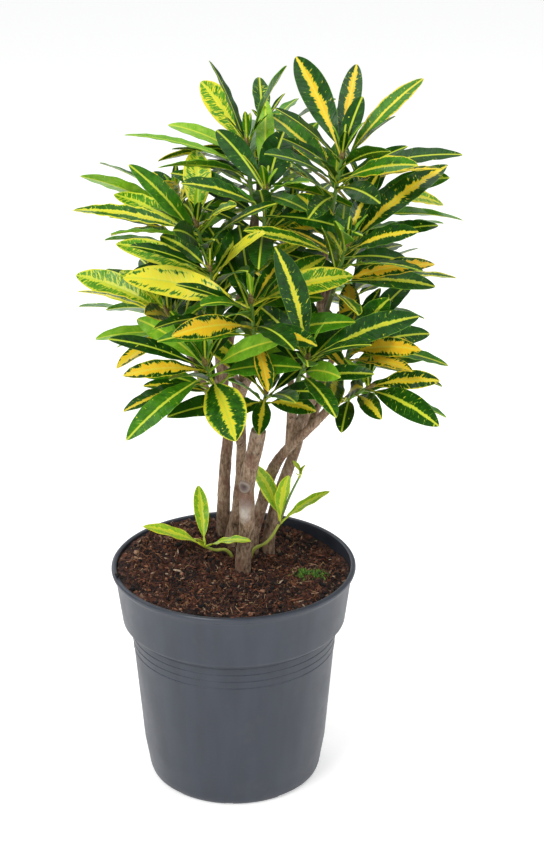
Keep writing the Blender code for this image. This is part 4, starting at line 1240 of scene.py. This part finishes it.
# Young tips: at the end of every shoot a brown bud in dry scales, amid four small new leaves.
BUD_LENGTH = 0.013
BUD_RADIUS = 0.0026
dry_scale, tree, shader = new_material("dry_bud_scale")
place = node(tree, "TexCoord").outputs["Object"]
fibres = node(tree, "TexNoise", {"Vector": place, "Scale": 700.0, "Detail": 4})
browns = node(tree, "ValToRGB", {0: fibres}, steps=((0.35, "#5d4a2c"), (0.65, "#a08a4e")))
tree.links.new(browns.outputs[0], shader.inputs["Base Color"])
shader.inputs["Roughness"].default_value = 0.65
for name in SHOOTS:
    foot, tip = stem_ends(name)
    ahead = (tip - foot).normalized()
    crest = tip + ahead * 0.5 * BUD
    bpy.ops.mesh.primitive_uv_sphere_add(segments=15, ring_count=16, radius=1.0)
    bud = bpy.context.object
    bud.name = name.replace("shoot", "bud")
    upright = ahead.to_track_quat("Z", "Y")
    for corner in bud.data.vertices:
        x, y, z = corner.co
        share = 0.5 + 0.5 * z
        scales = 1 + 0.22 * max(0.0, cos(3 * atan2(y, x) + 9 * share)) * (1 - share)
        slim = BUD_RADIUS * (1 - share) ** 0.35 * scales
        corner.co = crest + upright @ Vector((x * slim, y * slim, (share - 0.25) * BUD_LENGTH))
    bpy.ops.object.shade_smooth_by_angle(angle=radians(50))
    hand_in(bud, dry_scale, name)
    for i in range(4):
        young = Leaf(crest, radians(80 + 97 * i + dice.uniform(-15, 15)),
                     radians(dice.uniform(48, 74)), dice.uniform(0.018, 0.034),
                     dice.uniform(0.005, 0.0075), radians(dice.uniform(-20, 20)))
        lay_leaf(name.replace("shoot", "young_leaf") + f"_{i + 1}", young,
                 dice.choice("dyml"), name)


# Sprouts: two thin green shoots from the foot of the stems, with a few tender leaves; the right
# one also has a dark bare twig.
SPROUTS = {
    "sprout_left": (((2, 15, 180), (-6, 10, 203), (-16, 5, 206), (-25, 0, 212)), [
        (0.85, -175, 22, 58, 12, -25), (0.97, 100, 50, 55, 13, 0), (0.92, -38, 22, 54, 10, 15),
        (0.98, -115, 40, 24, 7, 0),
        ], None),
    "sprout_right": (((12, 16, 180), (18, 9, 205), (28, 5, 213), (41, 0, 236)), [
        (0.95, 175, 66, 58, 14, -62), (0.90, -60, 75, 52, 14, 0), (0.85, 10, 32, 52, 10, 20),
        ], ((39, 0, 233), (48, 2, 258), (58, 2, 280))),
}
SPROUT_RADII = (0.0016, 0.0011)
TWIG_RADII = (0.0012, 0.0008)
# Tender stem: waxy and yellow green, browner towards its foot.
tender_stem, tree, shader = new_material("tender_sprout_stem")
place = node(tree, "TexCoord").outputs["Object"]
along = node(tree, "Attribute", attribute_name="along")
patches = node(tree, "TexNoise", {"Vector": place, "Scale": 260.0, "Detail": 3})
ripe = node(tree, "Math", {0: patches.outputs["Fac"], 1: 0.5, 2: along.outputs["Fac"]},
            operation="MULTIPLY_ADD")
hues = node(tree, "ValToRGB", {0: ripe}, steps=((0.2, "#8d8148"), (0.7, "#b9c653")))
tree.links.new(hues.outputs[0], shader.inputs["Base Color"])
shader.inputs["Roughness"].default_value = 0.42
for name, (run, entries, twig) in SPROUTS.items():
    points = [mm(point) for point in run]
    green_stem(name + "_stem", points, SPROUT_RADII, tender_stem, name)
    for i, entry in enumerate(entries):
        lay_leaf(f"{name}_leaf_{i + 1}", leaf_at(points[-2], points[-1], entry), "t", name)
    if twig:
        twig = [mm(point) for point in twig]
        green_stem(name + "_twig", twig, TWIG_RADII, shoot_bark, name)
        for i, rise in enumerate((50, 28, 66)):
            leaflet = leaf_at(twig[-2], twig[-1], (0.98 - 0.1 * i, 150 + 110 * i, rise, 13, 5, 0))
            lay_leaf(f"{name}_leaflet_{i + 1}", leaflet, "t", name)
bpy.data.objects.remove(blank, do_unlink=True)
